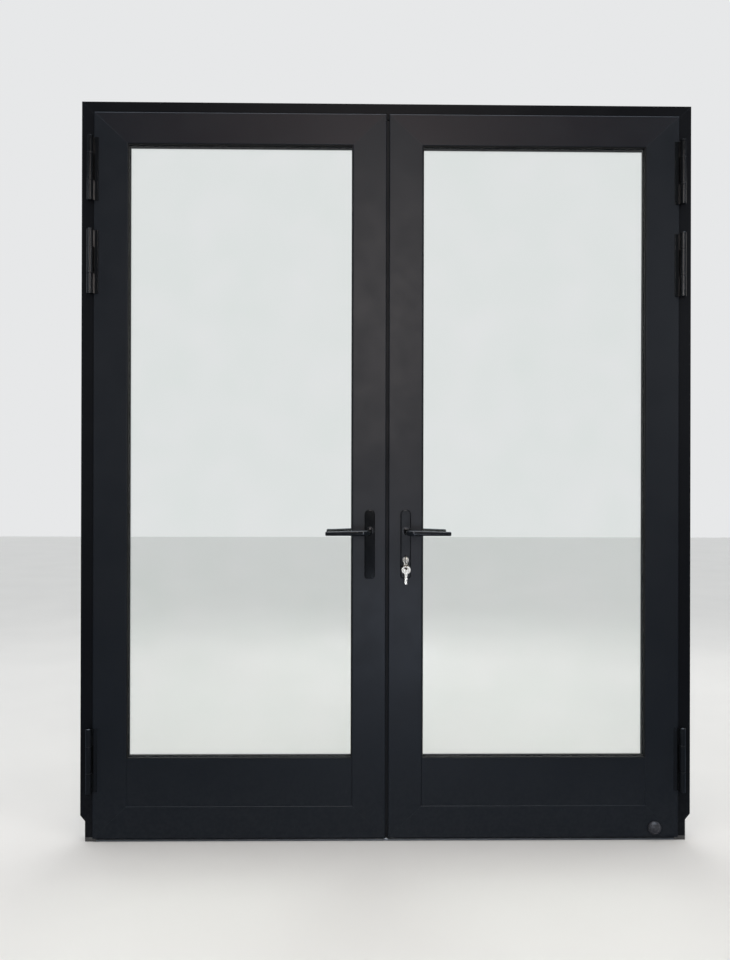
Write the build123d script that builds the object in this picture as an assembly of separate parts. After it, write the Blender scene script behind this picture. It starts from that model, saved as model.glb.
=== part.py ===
from build123d import *
import os

# Double-leaf aluminium entry door with its frame. Millimetres, seen from the front:
# X to the right, Y into the wall, Z up. The origin is the middle of the sill.

# Frame
frame_width = 1780.0
frame_height = 2150.0
profile_wall = 2.0
fin_reach = 14.0  # wall-lapping fin outside the frame tube
fin_foot_height = 76.0  # the fin is cut away below this height
fin_foot_bevel = 17.0
frame_tube = 32.0
stop_reach = 20.0  # rear flange that the leaf closes against
stop_thickness = 2.0
stop_lip = 4.0
threshold_height = 6.0
sill_groove_width = 2.5
sill_groove_depth = 0.8
sill_groove_places = [5.0, 10.0, 15.0]  # from the middle of the sill towards the back
end_block_height = 12.0
end_plug_height = 18.0
frame_cleat_leg = 80.0
frame_cleat_thickness = 16.0
cleat_gap = 0.3

# Leaf
side_clearance = 8.0  # between the frame's tube and the leaf's tube
head_clearance = 3.0
meeting_gap = 8.0
floor_gap = 10.0
leaf_proud = 8.0  # leaf face in front of the frame face
leaf_depth = 52.0
top_face = 91.0
bottom_face = 94.0
kick_height = 138.0
kick_recess = 0.6
overhang = 17.0  # flange outside the leaf tube
flange_thickness = 5.0
lip_reach = 21.0  # lip in front of the glass
lip_thickness = 4.0
edge_radius = 2.5
leaf_cleat_leg = 90.0
leaf_cleat_thickness = 14.0

# Glazing
pane_thickness = 4.0
pane_cavity = 16.0
glass_edge_gap = 6.0
gasket_thickness = 4.0
gasket_show = 3.5
gasket_tail = 8.0
spacer_inset = 3.0
spacer_width = 9.0
bead_wall = 1.6
bead_chamfer = 2.5
block_length = 100.0
block_overhang = 1.0  # setting blocks stand out this far beside the glass

# Seals and brush
seal_gap = 0.3
stop_seal_space = 4.0  # between the leaf's back and the stop flange
groove_start = 4.0
groove_width = 4.0
groove_depth = 2.0
brush_holder_depth = 16.0
brush_holder_height = 13.0
bristle_depth = 4.0
bristle_root = 3.0  # holder left above the bristles
brush_end_gap = 1.0

# Hinges
hinge_height = 190.0
hinge_from_top = 166.0  # leaf top down to the middle of the upper hinge
hinge_pair_spacing = 270.0
hinge_from_bottom = 228.0
hinge_offset = 8.0  # the axis stands outside the leaf's edge
barrel_radius = 9.0
barrel_standoff = 2.5
upper_knuckle = 51.0
lower_knuckle = 60.0
joint_space = 1.5
cap_height = 3.5
cap_plug = 6.0
pin_radius = 4.5
pin_fit = 0.05
pin_end_inset = 8.0
bush_radius = 6.5
bush_length = 30.0
wing_inner = 2.0  # measured from the axis
wing_reach = 13.5  # over the leaf's face
wing_thickness = 2.3
stud_radius = 2.0
frame_stud_depth = 14.0
frame_stud_margin = 15.0  # from the middle knuckle's ends
wing_stud_share = 0.37  # of the hinge height, up and down from its middle
wing_stud_from_tube = 6.5
running_gap = 0.1

# Levers and plates
spindle_height = 905.0
spindle_size = 8.0
cylinder_drop = 85.0
plate_below_cylinder = 54.0
plate_width = 30.0
plate_room = 4.5  # between the back plate and the interlock's flange
plate_thickness = 8.0
plate_above_spindle = 61.0
plate_edge = 2.5
plate_top_radius = 14.0
plate_foot_radius = 8.0
lever_reach = 128.0
lever_standoff = 52.0
lever_bend = 20.0
lever_drop = 5.0  # the grip hangs this far below the spindle
lever_depth = 12.0
lever_width = 16.0
lever_rounding = 5.0
tip_depth = 9.0
tip_width = 12.0
tip_rounding = 4.0
neck_radius = 10.0
neck_gap = 0.2
neck_collar = 5.0
socket_depth = 24.0

# Profile cylinder and keys
cylinder_radius = 8.5
cylinder_height = 33.0
cylinder_leg = 10.0
cylinder_proud = 2.5
plug_radius = 6.5
cam_radius = 15.0
cam_width = 10.0
cam_half_thickness = 4.0
key_length = 53.0
key_thickness = 2.4
bow_width = 26.0
bow_height = 21.0
bow_hole = 3.5
bow_hole_from_top = 6.5
blade_width = 8.5
key_shoulder_gap = 1.0
ring_room = 0.75  # keeps the two bows apart when the keys swing
ring_wire = 0.9
ring_slack = 1.5

# Lock
lock_backset = 35.0
case_behind_spindle = 20.0
case_room = 3.0  # between the case and the stile's inner wall
case_thickness = 16.0
case_wall = 2.0
case_above_spindle = 44.0
case_below_cylinder = 33.0
faceplate_thickness = 2.5
faceplate_width = 22.0
faceplate_beyond = 17.0  # past the case at each end
bolt_thickness = 11.4
latch_rise = 22.0  # latch centre above the spindle
latch_height = 16.6
latch_throw = 11.0
latch_notch = 10.0
dead_bolt_drop = 38.0
dead_bolt_height = 24.0
dead_bolt_throw = 20.0
dead_bolt_length = 31.0
follower_radius = 11.0
horn_radius = 20.0
horn_width = 5.0
horn_clearance = 1.5
bolt_clearance = 0.4
bolt_rest_inset = 0.5  # the drawn-back dead bolt stands behind the faceplate
tail_clearance = 2.0
follower_hole_radius = 8.0
screw_radius = 2.4
screw_inset = 8.0

# Interlock on the passive leaf, behind the meeting gap
strike_gap = 2.5  # between the strike plate and the faceplate
interlock_bottom = 71.0
interlock_head_gap = 2.0
interlock_foot_gap = 6.0
interlock_plug = 15.0
strike_thickness = 2.0
strike_beyond = 40.0  # past the middles of the two bolts

# Flush bolts
rod_radius = 4.0
rod_from_tube = 8.0
rod_hole_gap = 0.4
flush_throw = 18.0
head_engagement = 15.0
sill_engagement = 5.0
lug_size = 8.0
lug_reach = 12.0
lug_end_gap = 2.0
lug_from_spindle = 52.0
gear_half_height = 70.0
passive_backset = 30.0
gear_behind_spindle = 15.0
keeper_wall = 1.5
keeper_depth = 10.0
keeper_flange = 4.0
keeper_flange_thickness = 1.0

# Holes and stop
fixing_hole_radius = 4.25
fixing_first = 350.0
fixing_spacing = 500.0
fixing_count = 4
head_fixing_x = 500.0
stop_radius = 19.0
stop_projection = 14.0
stop_from_edge = 70.0
stop_from_floor = 38.0

# Cutting shapes reach this far past the face they open.
past = 1.0

# Places that follow from the sizes
frame_depth = leaf_depth - leaf_proud + stop_seal_space + stop_thickness
frame_front = -frame_depth / 2
frame_back = frame_depth / 2
frame_side = frame_width / 2
tube_edge = fin_reach + frame_tube
section_width = tube_edge + stop_reach
side_reveal = tube_edge + side_clearance - overhang
head_reveal = tube_edge + head_clearance - overhang
leaf_front = frame_front - leaf_proud
leaf_back = leaf_front + leaf_depth
leaf_middle = (leaf_front + leaf_back) / 2
leaf_outer = frame_side - side_reveal
leaf_inner = meeting_gap / 2
leaf_bottom = floor_gap
leaf_top = frame_height - head_reveal
kick_bottom = leaf_bottom + bottom_face
kick_top = kick_bottom + kick_height
glass_front = leaf_front + lip_thickness + gasket_thickness
glass_depth = 2 * pane_thickness + pane_cavity
glass_back = glass_front + glass_depth
bead_front = glass_back + gasket_thickness
meeting_tube = leaf_inner + overhang
lip_low = kick_top
lip_high = leaf_top - top_face
hinge_x = leaf_outer + hinge_offset
hinge_y = leaf_front - barrel_standoff - barrel_radius
hinge_centres = [
    leaf_top - hinge_from_top,
    leaf_top - hinge_from_top - hinge_pair_spacing,
    leaf_bottom + hinge_from_bottom,
]
lock_front = meeting_tube - faceplate_thickness
case_depth = lock_backset + case_behind_spindle
stile_face = overhang + case_depth + case_room + profile_wall + lip_reach
active_spindle_x = lock_front + lock_backset
latch_length = case_depth
gear_depth = passive_backset + gear_behind_spindle
passive_spindle_x = -meeting_tube - passive_backset
cylinder_z = spindle_height - cylinder_drop
case_below_spindle = cylinder_drop + case_below_cylinder
plate_length = plate_above_spindle + cylinder_drop + plate_below_cylinder
interlock_left = -meeting_tube
interlock_right = lock_front - strike_gap - strike_thickness
interlock_flange_end = active_spindle_x - plate_width / 2 - plate_room
interlock_top = frame_height - section_width - interlock_head_gap
rod_x = interlock_left + rod_from_tube
under_head = frame_height - tube_edge
frame_stud_x = hinge_x + barrel_radius / 2
frame_stud_offsets = [
    lower_knuckle + joint_space + frame_stud_margin - hinge_height / 2,
    hinge_height / 2 - upper_knuckle - joint_space - frame_stud_margin,
]
wing_stud_x = leaf_outer - overhang + wing_stud_from_tube
wing_stud_offsets = [-wing_stud_share * hinge_height, 0, wing_stud_share * hinge_height]
cylinder_front = leaf_front - plate_thickness - cylinder_proud
cylinder_back = leaf_back + plate_thickness + cylinder_proud
key_hole_y = cylinder_front - key_shoulder_gap - bow_height + bow_hole_from_top
ring_radius = (bow_width / 2 + bow_hole_from_top) / 2 + ring_room
ring_top_z = cylinder_z - bow_hole + ring_wire + ring_slack
ring_bottom_z = ring_top_z - 2 * ring_radius
latch_z = spindle_height + latch_rise
dead_bolt_z = spindle_height - dead_bolt_drop


def outline(points):
    return make_face(Polyline(*points, close=True))


def rectangle(x0, x1, y0, y1):
    return outline([(x0, y0), (x1, y0), (x1, y1), (x0, y1)])


def round_corners(face, corners, radius):
    for corner in corners:
        vertex = face.vertices().sort_by_distance((corner[0], corner[1], 0))[0]
        face = fillet(vertex, radius)
    return face


def block(x0, x1, y0, y1, z0, z1):
    low = Vector(min(x0, x1), min(y0, y1), min(z0, z1))
    size = Vector(abs(x1 - x0), abs(y1 - y0), abs(z1 - z0))
    corner = (Align.MIN, Align.MIN, Align.MIN)
    return Pos(low) * Box(size.X, size.Y, size.Z, align=corner)


def rod_along_z(x, y, radius, z0, z1):
    return Pos(x, y, (z0 + z1) / 2) * Cylinder(radius, z1 - z0)


def rod_along_y(x, z, radius, y0, y1):
    return Pos(x, (y0 + y1) / 2, z) * Rot(90, 0, 0) * Cylinder(radius, y1 - y0)


def rod_along_x(y, z, radius, x0, x1):
    return Pos((x0 + x1) / 2, y, z) * Rot(0, 90, 0) * Cylinder(radius, abs(x1 - x0))


def bar(section, start, across, length):
    # The section's first axis runs along across and its second axis into the wall.
    normal = Vector(across).cross(Vector(0, 1, 0))
    plane = Plane(origin=start, x_dir=across, z_dir=normal)
    return extrude(plane * section, length)


def elevation(points):
    # A prism through the whole depth of the door, from its outline in X and Z.
    return extrude(Plane.XZ * outline(points), 10 * frame_depth, both=True)


def mitred_bars(x0, x1, z0, z1, y, side, bottom, top, widths):
    # Left, right, bottom and top bars of a rectangle, cut on the corner diagonals.
    side_width, bottom_width, top_width = widths
    xa = x0 + side_width
    xb = x1 - side_width
    za = z0 + bottom_width
    zb = z1 - top_width
    left = bar(side, (x0, y, z0), (1, 0, 0), z1 - z0)
    right = bar(side, (x1, y, z1), (-1, 0, 0), z1 - z0)
    low = bar(bottom, (x1, y, z0), (0, 0, 1), x1 - x0)
    high = bar(top, (x0, y, z1), (0, 0, -1), x1 - x0)
    return {
        "left": left & elevation([(x0, z0), (xa, za), (xa, zb), (x0, z1)]),
        "right": right & elevation([(x1, z0), (x1, z1), (xb, zb), (xb, za)]),
        "bottom": low & elevation([(x0, z0), (x1, z0), (xb, za), (xa, za)]),
        "top": high & elevation([(x0, z1), (xa, zb), (xb, zb), (x1, z1)]),
    }


def mitred_loop(x0, x1, z0, z1, y, section, width):
    bars = mitred_bars(x0, x1, z0, z1, y, section, section, section, (width, width, width))
    return bars["left"] + bars["top"] + bars["right"] + bars["bottom"]


def frame_section():
    # Fin, tube and rear stop flange with its hooked edge.
    lip_start = section_width - stop_thickness
    outer = outline(
        [
            (0, 0),
            (tube_edge, 0),
            (tube_edge, frame_depth - stop_thickness),
            (lip_start, frame_depth - stop_thickness),
            (lip_start, frame_depth - stop_lip),
            (section_width, frame_depth - stop_lip),
            (section_width, frame_depth),
            (fin_reach, frame_depth),
            (fin_reach, profile_wall),
            (0, profile_wall),
        ]
    )
    chamber = rectangle(
        fin_reach + profile_wall,
        tube_edge - profile_wall,
        profile_wall,
        frame_depth - profile_wall,
    )
    return outer - chamber


def leaf_section(face):
    # Flange over the frame, tube, and lip in front of the glass.
    tube_end = face - lip_reach
    outer = outline(
        [
            (0, 0),
            (face, 0),
            (face, lip_thickness),
            (tube_end, lip_thickness),
            (tube_end, leaf_depth),
            (overhang, leaf_depth),
            (overhang, flange_thickness),
            (0, flange_thickness),
        ]
    )
    outer = round_corners(outer, [(0, 0), (face, 0)], edge_radius)
    chamber = rectangle(
        overhang + profile_wall,
        tube_end - profile_wall,
        profile_wall,
        leaf_depth - profile_wall,
    )
    return outer - chamber - seal_groove()


def seal_groove():
    return rectangle(
        groove_start, groove_start + groove_width, flange_thickness - groove_depth, flange_thickness
    )


def seal_section():
    # Foot in the flange groove and a bulb that closes on the frame face.
    reach = leaf_proud - seal_gap
    end = groove_start + groove_width
    return outline(
        [
            (groove_start, flange_thickness - groove_depth),
            (end, flange_thickness - groove_depth),
            (end, flange_thickness),
            (end + 1.5, flange_thickness + 0.8),
            (end + 1.5, reach - 0.7),
            (end, reach),
            (groove_start, reach),
            (groove_start - 1.2, flange_thickness + 1),
            (groove_start, flange_thickness),
        ]
    )


def stop_seal_section(width):
    # Lip seal on the stop flange's face, reaching forwards to the leaf's back.
    height = frame_back - stop_thickness - leaf_back - seal_gap
    return outline(
        [
            (0, 0),
            (width, 0),
            (width, -0.35 * height),
            (width * 0.75, -height),
            (width * 0.5, -height),
            (width * 0.2, -0.4 * height),
            (0, -0.4 * height),
        ]
    )


def left_and_right(part):
    return [part, mirror(part, Plane.YZ)]


def fixing_heights():
    return [fixing_first + fixing_spacing * i for i in range(fixing_count)]


def frame_bars():
    section = frame_section()
    widths = (section_width, section_width, section_width)
    return mitred_bars(
        -frame_side, frame_side, -section_width, frame_height, frame_front,
        section, section, section, widths,
    )


def jamb():
    # Left jamb, standing on its end block, with the fin cut away at the foot.
    part = frame_bars()["left"]
    part -= block(
        -frame_side - past, 0, frame_front - past, frame_back + past, -section_width - past, end_block_height
    )
    part -= elevation(
        [
            (-frame_side - past, -past),
            (-frame_side + fin_reach, -past),
            (-frame_side + fin_reach, fin_foot_height - fin_foot_bevel),
            (-frame_side - past, fin_foot_height + past * fin_foot_bevel / fin_reach),
        ]
    )
    for height in fixing_heights():
        part -= rod_along_x(
            0, height, fixing_hole_radius, -frame_side + fin_reach - past, -frame_side + tube_edge + past
        )
    for centre in hinge_centres:
        for offset in frame_stud_offsets:
            part -= rod_along_y(
                -frame_stud_x,
                centre + offset,
                stud_radius + bolt_clearance,
                frame_front - past,
                frame_front + profile_wall + past,
            )
    return part


def head():
    part = frame_bars()["top"]
    for x in (-head_fixing_x, head_fixing_x):
        part -= rod_along_z(x, 0, fixing_hole_radius, under_head - past, frame_height)
    hole = rod_radius + rod_hole_gap + keeper_wall
    return part - rod_along_z(
        rod_x, leaf_middle, hole, under_head - past, under_head + profile_wall + past
    )


def threshold():
    half = frame_side - tube_edge
    part = block(-half, half, frame_front, frame_back, 0, threshold_height)
    top_edges = part.edges().filter_by(Axis.X).group_by(Axis.Z)[-1]
    part = chamfer(top_edges, threshold_height / 3)
    for y in sill_groove_places:
        part -= block(
            -half - past,
            half + past,
            y - sill_groove_width / 2,
            y + sill_groove_width / 2,
            threshold_height - sill_groove_depth,
            threshold_height + past,
        )
    hole = rod_radius + rod_hole_gap + keeper_wall
    return part - rod_along_z(rod_x, leaf_middle, hole, -past, threshold_height + past)


def threshold_end_blocks():
    low = -frame_side + fin_reach
    part = block(low, low + frame_tube, frame_front, frame_back, 0, end_block_height)
    part = chamfer(part.edges().filter_by(Axis.Z).group_by(Axis.Y)[0], profile_wall / 2)
    # A plug reaches up into the jamb's chamber.
    part += block(
        low + profile_wall + bolt_clearance,
        low + frame_tube - profile_wall - bolt_clearance,
        frame_front + profile_wall + bolt_clearance,
        frame_back - profile_wall - bolt_clearance,
        end_block_height,
        end_block_height + end_plug_height,
    )
    return left_and_right(part)


def cleat(corner_x, corner_z, toward_x, toward_z, inset, leg, thickness, y0, y1):
    # L-shaped corner piece with a stiffened inner angle, inside two chambers.
    brace = thickness * 0.7
    points = [
        (0, 0),
        (leg, 0),
        (leg, thickness),
        (thickness + brace, thickness),
        (thickness, thickness + brace),
        (thickness, leg),
        (0, leg),
    ]
    placed = [
        (corner_x + toward_x * (inset + a), corner_z + toward_z * (inset + b)) for a, b in points
    ]
    shape = extrude(Plane.XZ * outline(placed), -(y1 - y0))
    return Pos(0, y0, 0) * shape


def frame_corner_cleats():
    part = cleat(
        -frame_side,
        frame_height,
        1,
        -1,
        fin_reach + profile_wall + cleat_gap,
        frame_cleat_leg,
        frame_cleat_thickness,
        frame_front + profile_wall + cleat_gap,
        frame_back - profile_wall - cleat_gap,
    )
    return left_and_right(part)


def frame_seals():
    # Lip seals along the stop flanges of the jambs and the head.
    width = stop_reach / 2
    start = section_width - stop_thickness - width
    section = Pos(start, frame_depth - stop_thickness) * stop_seal_section(width)
    bars = mitred_bars(
        -frame_side, frame_side, -section_width, frame_height, frame_front,
        section, section, section, (section_width, section_width, section_width),
    )
    above_sill = block(
        -frame_side, frame_side, frame_front, frame_back, end_block_height, frame_height
    )
    return (bars["left"] + bars["top"] + bars["right"]) & above_sill


def knuckle_levels(centre):
    # Heights of the barrel's joints, from the bottom up.
    low = centre - hinge_height / 2
    high = centre + hinge_height / 2
    return {
        "low_start": low + cap_height,
        "low_end": low + lower_knuckle,
        "middle_start": low + lower_knuckle + joint_space,
        "middle_end": high - upper_knuckle - joint_space,
        "high_start": high - upper_knuckle,
        "high_end": high - cap_height,
    }


def hinge_frame_part(centre):
    # Middle knuckle with the foot that bolts it to the left jamb.
    z = knuckle_levels(centre)
    start = z["middle_start"]
    end = z["middle_end"]
    part = rod_along_z(-hinge_x, hinge_y, barrel_radius, start, end)
    part += block(-hinge_x - barrel_radius, -hinge_x - running_gap, hinge_y, frame_front, start, end)
    for offset in frame_stud_offsets:
        part += rod_along_y(
            -frame_stud_x, centre + offset, stud_radius, frame_front - past, frame_front + frame_stud_depth
        )
    return part - rod_along_z(-hinge_x, hinge_y, pin_radius + pin_fit, start, end)


def hinge_cap(at, up):
    # Domed cap with a plug in the knuckle's bore, made pointing up.
    profile = outline(
        [
            (0, -cap_plug),
            (bush_radius - running_gap, -cap_plug),
            (bush_radius - running_gap, 0),
            (barrel_radius, 0),
            (barrel_radius, cap_height * 0.4),
            (barrel_radius * 0.82, cap_height * 0.85),
            (barrel_radius * 0.45, cap_height),
            (0, cap_height),
        ]
    )
    cap = revolve(Plane.XZ * profile, Axis.Z)
    if not up:
        cap = mirror(cap, Plane.XY)
    return Pos(-hinge_x, hinge_y, at) * cap


def hinge_leaf_part(centre):
    # Outer knuckles joined by the wing on the left leaf's face.
    z = knuckle_levels(centre)
    wing = block(
        -hinge_x + wing_inner,
        -leaf_outer + wing_reach,
        leaf_front - wing_thickness,
        leaf_front,
        z["low_start"],
        z["high_end"],
    )
    outer_edge = wing.edges().filter_by(Axis.Z).sort_by(Axis.X)[-2:].sort_by(Axis.Y)[0]
    part = chamfer(outer_edge, wing_thickness * 0.6)
    for start, end in ((z["low_start"], z["low_end"]), (z["high_start"], z["high_end"])):
        part += rod_along_z(-hinge_x, hinge_y, barrel_radius, start, end)
        part += block(
            -hinge_x + wing_inner, -hinge_x + barrel_radius, hinge_y, leaf_front, start, end
        )
        part -= rod_along_z(-hinge_x, hinge_y, bush_radius + running_gap, start, end)
    for offset in wing_stud_offsets:
        part += rod_along_y(
            -wing_stud_x, centre + offset, stud_radius, leaf_front - past, leaf_front + flange_thickness
        )
    return part


def hinge_leaf_parts():
    parts = []
    for centre in hinge_centres:
        z = knuckle_levels(centre)
        parts.append(hinge_leaf_part(centre))
        parts.append(hinge_cap(z["high_end"], True))
        parts.append(hinge_cap(z["low_start"], False))
    return parts


def hinge_pin(centre):
    z = knuckle_levels(centre)
    low = z["low_start"] + pin_end_inset
    high = z["high_end"] - pin_end_inset
    return rod_along_z(-hinge_x, hinge_y, pin_radius, low, high)


def hinge_bushes(centre):
    # Flanged bushes on the pin, in the upper and the lower leaf knuckle.
    z = knuckle_levels(centre)
    flange_radius = (bush_radius + 3 * barrel_radius) / 4
    upper = rod_along_z(
        -hinge_x, hinge_y, flange_radius, z["middle_end"], z["high_start"] - running_gap
    )
    upper += rod_along_z(
        -hinge_x, hinge_y, bush_radius, z["middle_end"], z["high_start"] + bush_length
    )
    lower = rod_along_z(
        -hinge_x, hinge_y, flange_radius, z["low_end"] + running_gap, z["middle_start"]
    )
    lower += rod_along_z(
        -hinge_x, hinge_y, bush_radius, z["low_end"] - bush_length, z["middle_start"]
    )
    bore = rod_along_z(-hinge_x, hinge_y, pin_radius + pin_fit, z["low_start"], z["high_end"])
    return [upper - bore, lower - bore]


def both_hinge_rows(make):
    parts = []
    for centre in hinge_centres:
        made = make(centre)
        made = made if isinstance(made, list) else [made]
        for part in made:
            parts += left_and_right(part)
    return parts


def bolt_keepers():
    # Bushes for the flush bolts, in the head and in the sill.
    bore = rod_radius + rod_hole_gap
    sleeve = bore + keeper_wall
    flange = sleeve + keeper_flange
    flange_low = under_head - keeper_flange_thickness
    top = under_head + keeper_depth
    upper = rod_along_z(rod_x, leaf_middle, sleeve, under_head, top)
    upper += rod_along_z(rod_x, leaf_middle, flange, flange_low, under_head)
    upper -= rod_along_z(rod_x, leaf_middle, bore, flange_low - past, top + past)
    lower = rod_along_z(rod_x, leaf_middle, sleeve, 0, threshold_height)
    lower -= rod_along_z(rod_x, leaf_middle, bore, -past, threshold_height + past)
    return [upper, lower]


def leaf_span(side):
    # Left and right edges of a leaf's face; side is -1 for the left leaf.
    return sorted((side * leaf_outer, side * leaf_inner))


def leaf_members(side):
    x0, x1 = leaf_span(side)
    return mitred_bars(
        x0,
        x1,
        leaf_bottom,
        leaf_top,
        leaf_front,
        leaf_section(stile_face),
        leaf_section(bottom_face),
        leaf_section(top_face),
        (stile_face, bottom_face, top_face),
    )


def hinge_stile(bars, side):
    part = bars["left"] if side < 0 else bars["right"]
    for centre in hinge_centres:
        for offset in wing_stud_offsets:
            part -= rod_along_y(
                side * wing_stud_x,
                centre + offset,
                stud_radius,
                leaf_front - past,
                leaf_front + flange_thickness + past,
            )
    return part


def spindle_hole(x):
    return rod_along_y(x, spindle_height, neck_radius, leaf_front - past, leaf_back + past)


def lock_slot(x0, x1, z0, z1, thickness):
    return block(x0, x1, leaf_middle - thickness / 2, leaf_middle + thickness / 2, z0, z1)


def active_meeting_stile(bars):
    part = bars["left"] - spindle_hole(active_spindle_x)
    part -= cylinder_prism(bolt_clearance, leaf_front - past, leaf_back + past)
    return part - lock_slot(
        meeting_tube - past,
        meeting_tube + profile_wall + past,
        spindle_height - case_below_spindle - bolt_clearance,
        spindle_height + case_above_spindle + bolt_clearance,
        case_thickness + 2 * bolt_clearance,
    )


def lug_slot(up, x0, x1):
    # Slot that lets a flush bolt's lug travel between its two ends.
    near = lug_from_spindle - flush_throw - lug_size / 2 - lug_end_gap
    far = lug_from_spindle + lug_size / 2 + lug_end_gap
    low = spindle_height + near if up else spindle_height - far
    return lock_slot(x0, x1, low, low + far - near, lug_size)


def passive_meeting_stile(bars):
    part = bars["right"] - spindle_hole(passive_spindle_x)
    for up in (True, False):
        part -= lug_slot(up, -meeting_tube - profile_wall - past, -meeting_tube + past)
    return part


def kick_rail(side):
    # Butts between the stiles; its ends are milled to fit behind the stile lips.
    x0, x1 = leaf_span(side)
    tube_low = kick_bottom - lip_reach
    tube_high = kick_top - lip_reach
    back_step = lip_thickness + running_gap
    outer = outline(
        [
            (kick_bottom, kick_recess),
            (kick_top, kick_recess),
            (kick_top, lip_thickness),
            (tube_high, lip_thickness),
            (tube_high, leaf_depth),
            (tube_low, leaf_depth),
            (tube_low, back_step),
            (kick_bottom, back_step),
        ]
    )
    front_wall = kick_recess + profile_wall
    chamber = outline(
        [
            (tube_low + profile_wall, back_step + profile_wall),
            (kick_bottom + profile_wall, back_step + profile_wall),
            (kick_bottom + profile_wall, front_wall),
            (tube_high - profile_wall, front_wall),
            (tube_high - profile_wall, leaf_depth - profile_wall),
            (tube_low + profile_wall, leaf_depth - profile_wall),
        ]
    )
    reach = stile_face - lip_reach
    start = (x1 - reach, leaf_front, 0)
    part = bar(outer - chamber, start, (0, 0, 1), x1 - x0 - 2 * reach)
    for low, high in ((x0, x0 + stile_face), (x1 - stile_face, x1)):
        part -= block(
            low, high, leaf_front - past, leaf_front + back_step, kick_bottom - past, kick_top + past
        )
    return part


def leaf_corner_cleats(side):
    x0, x1 = leaf_span(side)
    inset = overhang + profile_wall + cleat_gap
    y0 = leaf_front + profile_wall + cleat_gap
    y1 = leaf_back - profile_wall - cleat_gap
    corners = [
        (x0, leaf_bottom, 1, 1),
        (x1, leaf_bottom, -1, 1),
        (x0, leaf_top, 1, -1),
        (x1, leaf_top, -1, -1),
    ]
    return [
        cleat(*corner, inset, leaf_cleat_leg, leaf_cleat_thickness, y0, y1) for corner in corners
    ]


def glass_box(side, y0, y1, inset=0.0):
    x0, x1 = leaf_span(side)
    edge = stile_face - lip_reach + glass_edge_gap + inset
    low = lip_low - lip_reach + glass_edge_gap + inset
    high = lip_high + lip_reach - glass_edge_gap - inset
    return block(x0 + edge, x1 - edge, y0, y1, low, high)


def panes(side):
    outer = glass_box(side, glass_front, glass_front + pane_thickness)
    inner = glass_box(side, glass_back - pane_thickness, glass_back)
    return [outer, inner]


def pane_spacer(side):
    y0 = glass_front + pane_thickness
    y1 = glass_back - pane_thickness
    outer = glass_box(side, y0, y1, spacer_inset)
    return outer - glass_box(side, y0 - past, y1 + past, spacer_inset + spacer_width)


def setting_blocks(side):
    # Packers in the gap between the glass edge and the rebate, on all four sides.
    x0, x1 = leaf_span(side)
    y0 = glass_front - block_overhang
    y1 = glass_back + block_overhang
    tube = stile_face - lip_reach
    low = lip_low - lip_reach
    high = lip_high + lip_reach
    half = block_length / 2
    parts = []
    for share in (0.25, 0.75):
        x = x0 + share * (x1 - x0)
        parts.append(block(x - half, x + half, y0, y1, low, low + glass_edge_gap))
        parts.append(block(x - half, x + half, y0, y1, high - glass_edge_gap, high))
    z = (low + high) / 2
    parts.append(block(x0 + tube, x0 + tube + glass_edge_gap, y0, y1, z - half, z + half))
    parts.append(block(x1 - tube - glass_edge_gap, x1 - tube, y0, y1, z - half, z + half))
    return parts


def gasket_section():
    # Foot between lip and glass, and the visible sloping lip.
    tail = gasket_tail
    return outline(
        [
            (0, 0),
            (tail, 0),
            (tail, -1.4),
            (tail + 2, -1.8),
            (tail + gasket_show, gasket_thickness - 0.6),
            (tail + gasket_show, gasket_thickness),
            (0, gasket_thickness),
        ]
    )


def lip_loop(side, y, section, grow):
    # A loop along the glass opening, started grow millimetres outside its edge.
    x0, x1 = leaf_span(side)
    return mitred_loop(
        x0 + stile_face - grow,
        x1 - stile_face + grow,
        lip_low - grow,
        lip_high + grow,
        y,
        section,
        grow + gasket_show,
    )


def glazing_gaskets(side):
    front = lip_loop(side, glass_front - gasket_thickness, gasket_section(), gasket_tail)
    turned = mirror(gasket_section(), Plane.XZ)
    back = lip_loop(side, bead_front, turned, gasket_tail)
    return [front, back]


def leaf_seal(side):
    # Along the flange at both sides and over the top; the brush seals the bottom.
    x0, x1 = leaf_span(side)
    section = seal_section()
    bars = mitred_bars(
        x0, x1, leaf_bottom, leaf_top, leaf_front,
        section, section, section, (stile_face, bottom_face, top_face),
    )
    return bars["left"] + bars["top"] + bars["right"]


def interlock_seal():
    width = (interlock_flange_end - interlock_right) / 2
    section = stop_seal_section(width)
    start = interlock_flange_end - stop_thickness - width
    origin = (start, frame_back - stop_thickness, interlock_bottom)
    plane = Plane(origin=origin, x_dir=(1, 0, 0), z_dir=(0, 0, 1))
    return extrude(plane * section, interlock_top - interlock_bottom)


def beads(side):
    # Horizontal beads run the full width and the upright ones stand between them.
    x0, x1 = leaf_span(side)
    depth = leaf_back - bead_front
    solid = rectangle(0, lip_reach, 0, depth)
    solid = chamfer(solid.vertices().sort_by_distance((lip_reach, depth, 0))[0], bead_chamfer)
    hollow = rectangle(bead_wall, lip_reach - bead_wall - bead_chamfer, bead_wall, depth - bead_wall)
    section = solid - hollow
    tube = stile_face - lip_reach
    low = lip_low - lip_reach
    high = lip_high + lip_reach
    width = x1 - x0 - 2 * tube
    parts = [
        bar(section, (x1 - tube, bead_front, low), (0, 0, 1), width),
        bar(section, (x0 + tube, bead_front, high), (0, 0, -1), width),
        bar(section, (x0 + tube, bead_front, lip_low), (1, 0, 0), lip_high - lip_low),
        bar(section, (x1 - tube, bead_front, lip_high), (-1, 0, 0), lip_high - lip_low),
    ]
    return parts


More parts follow.
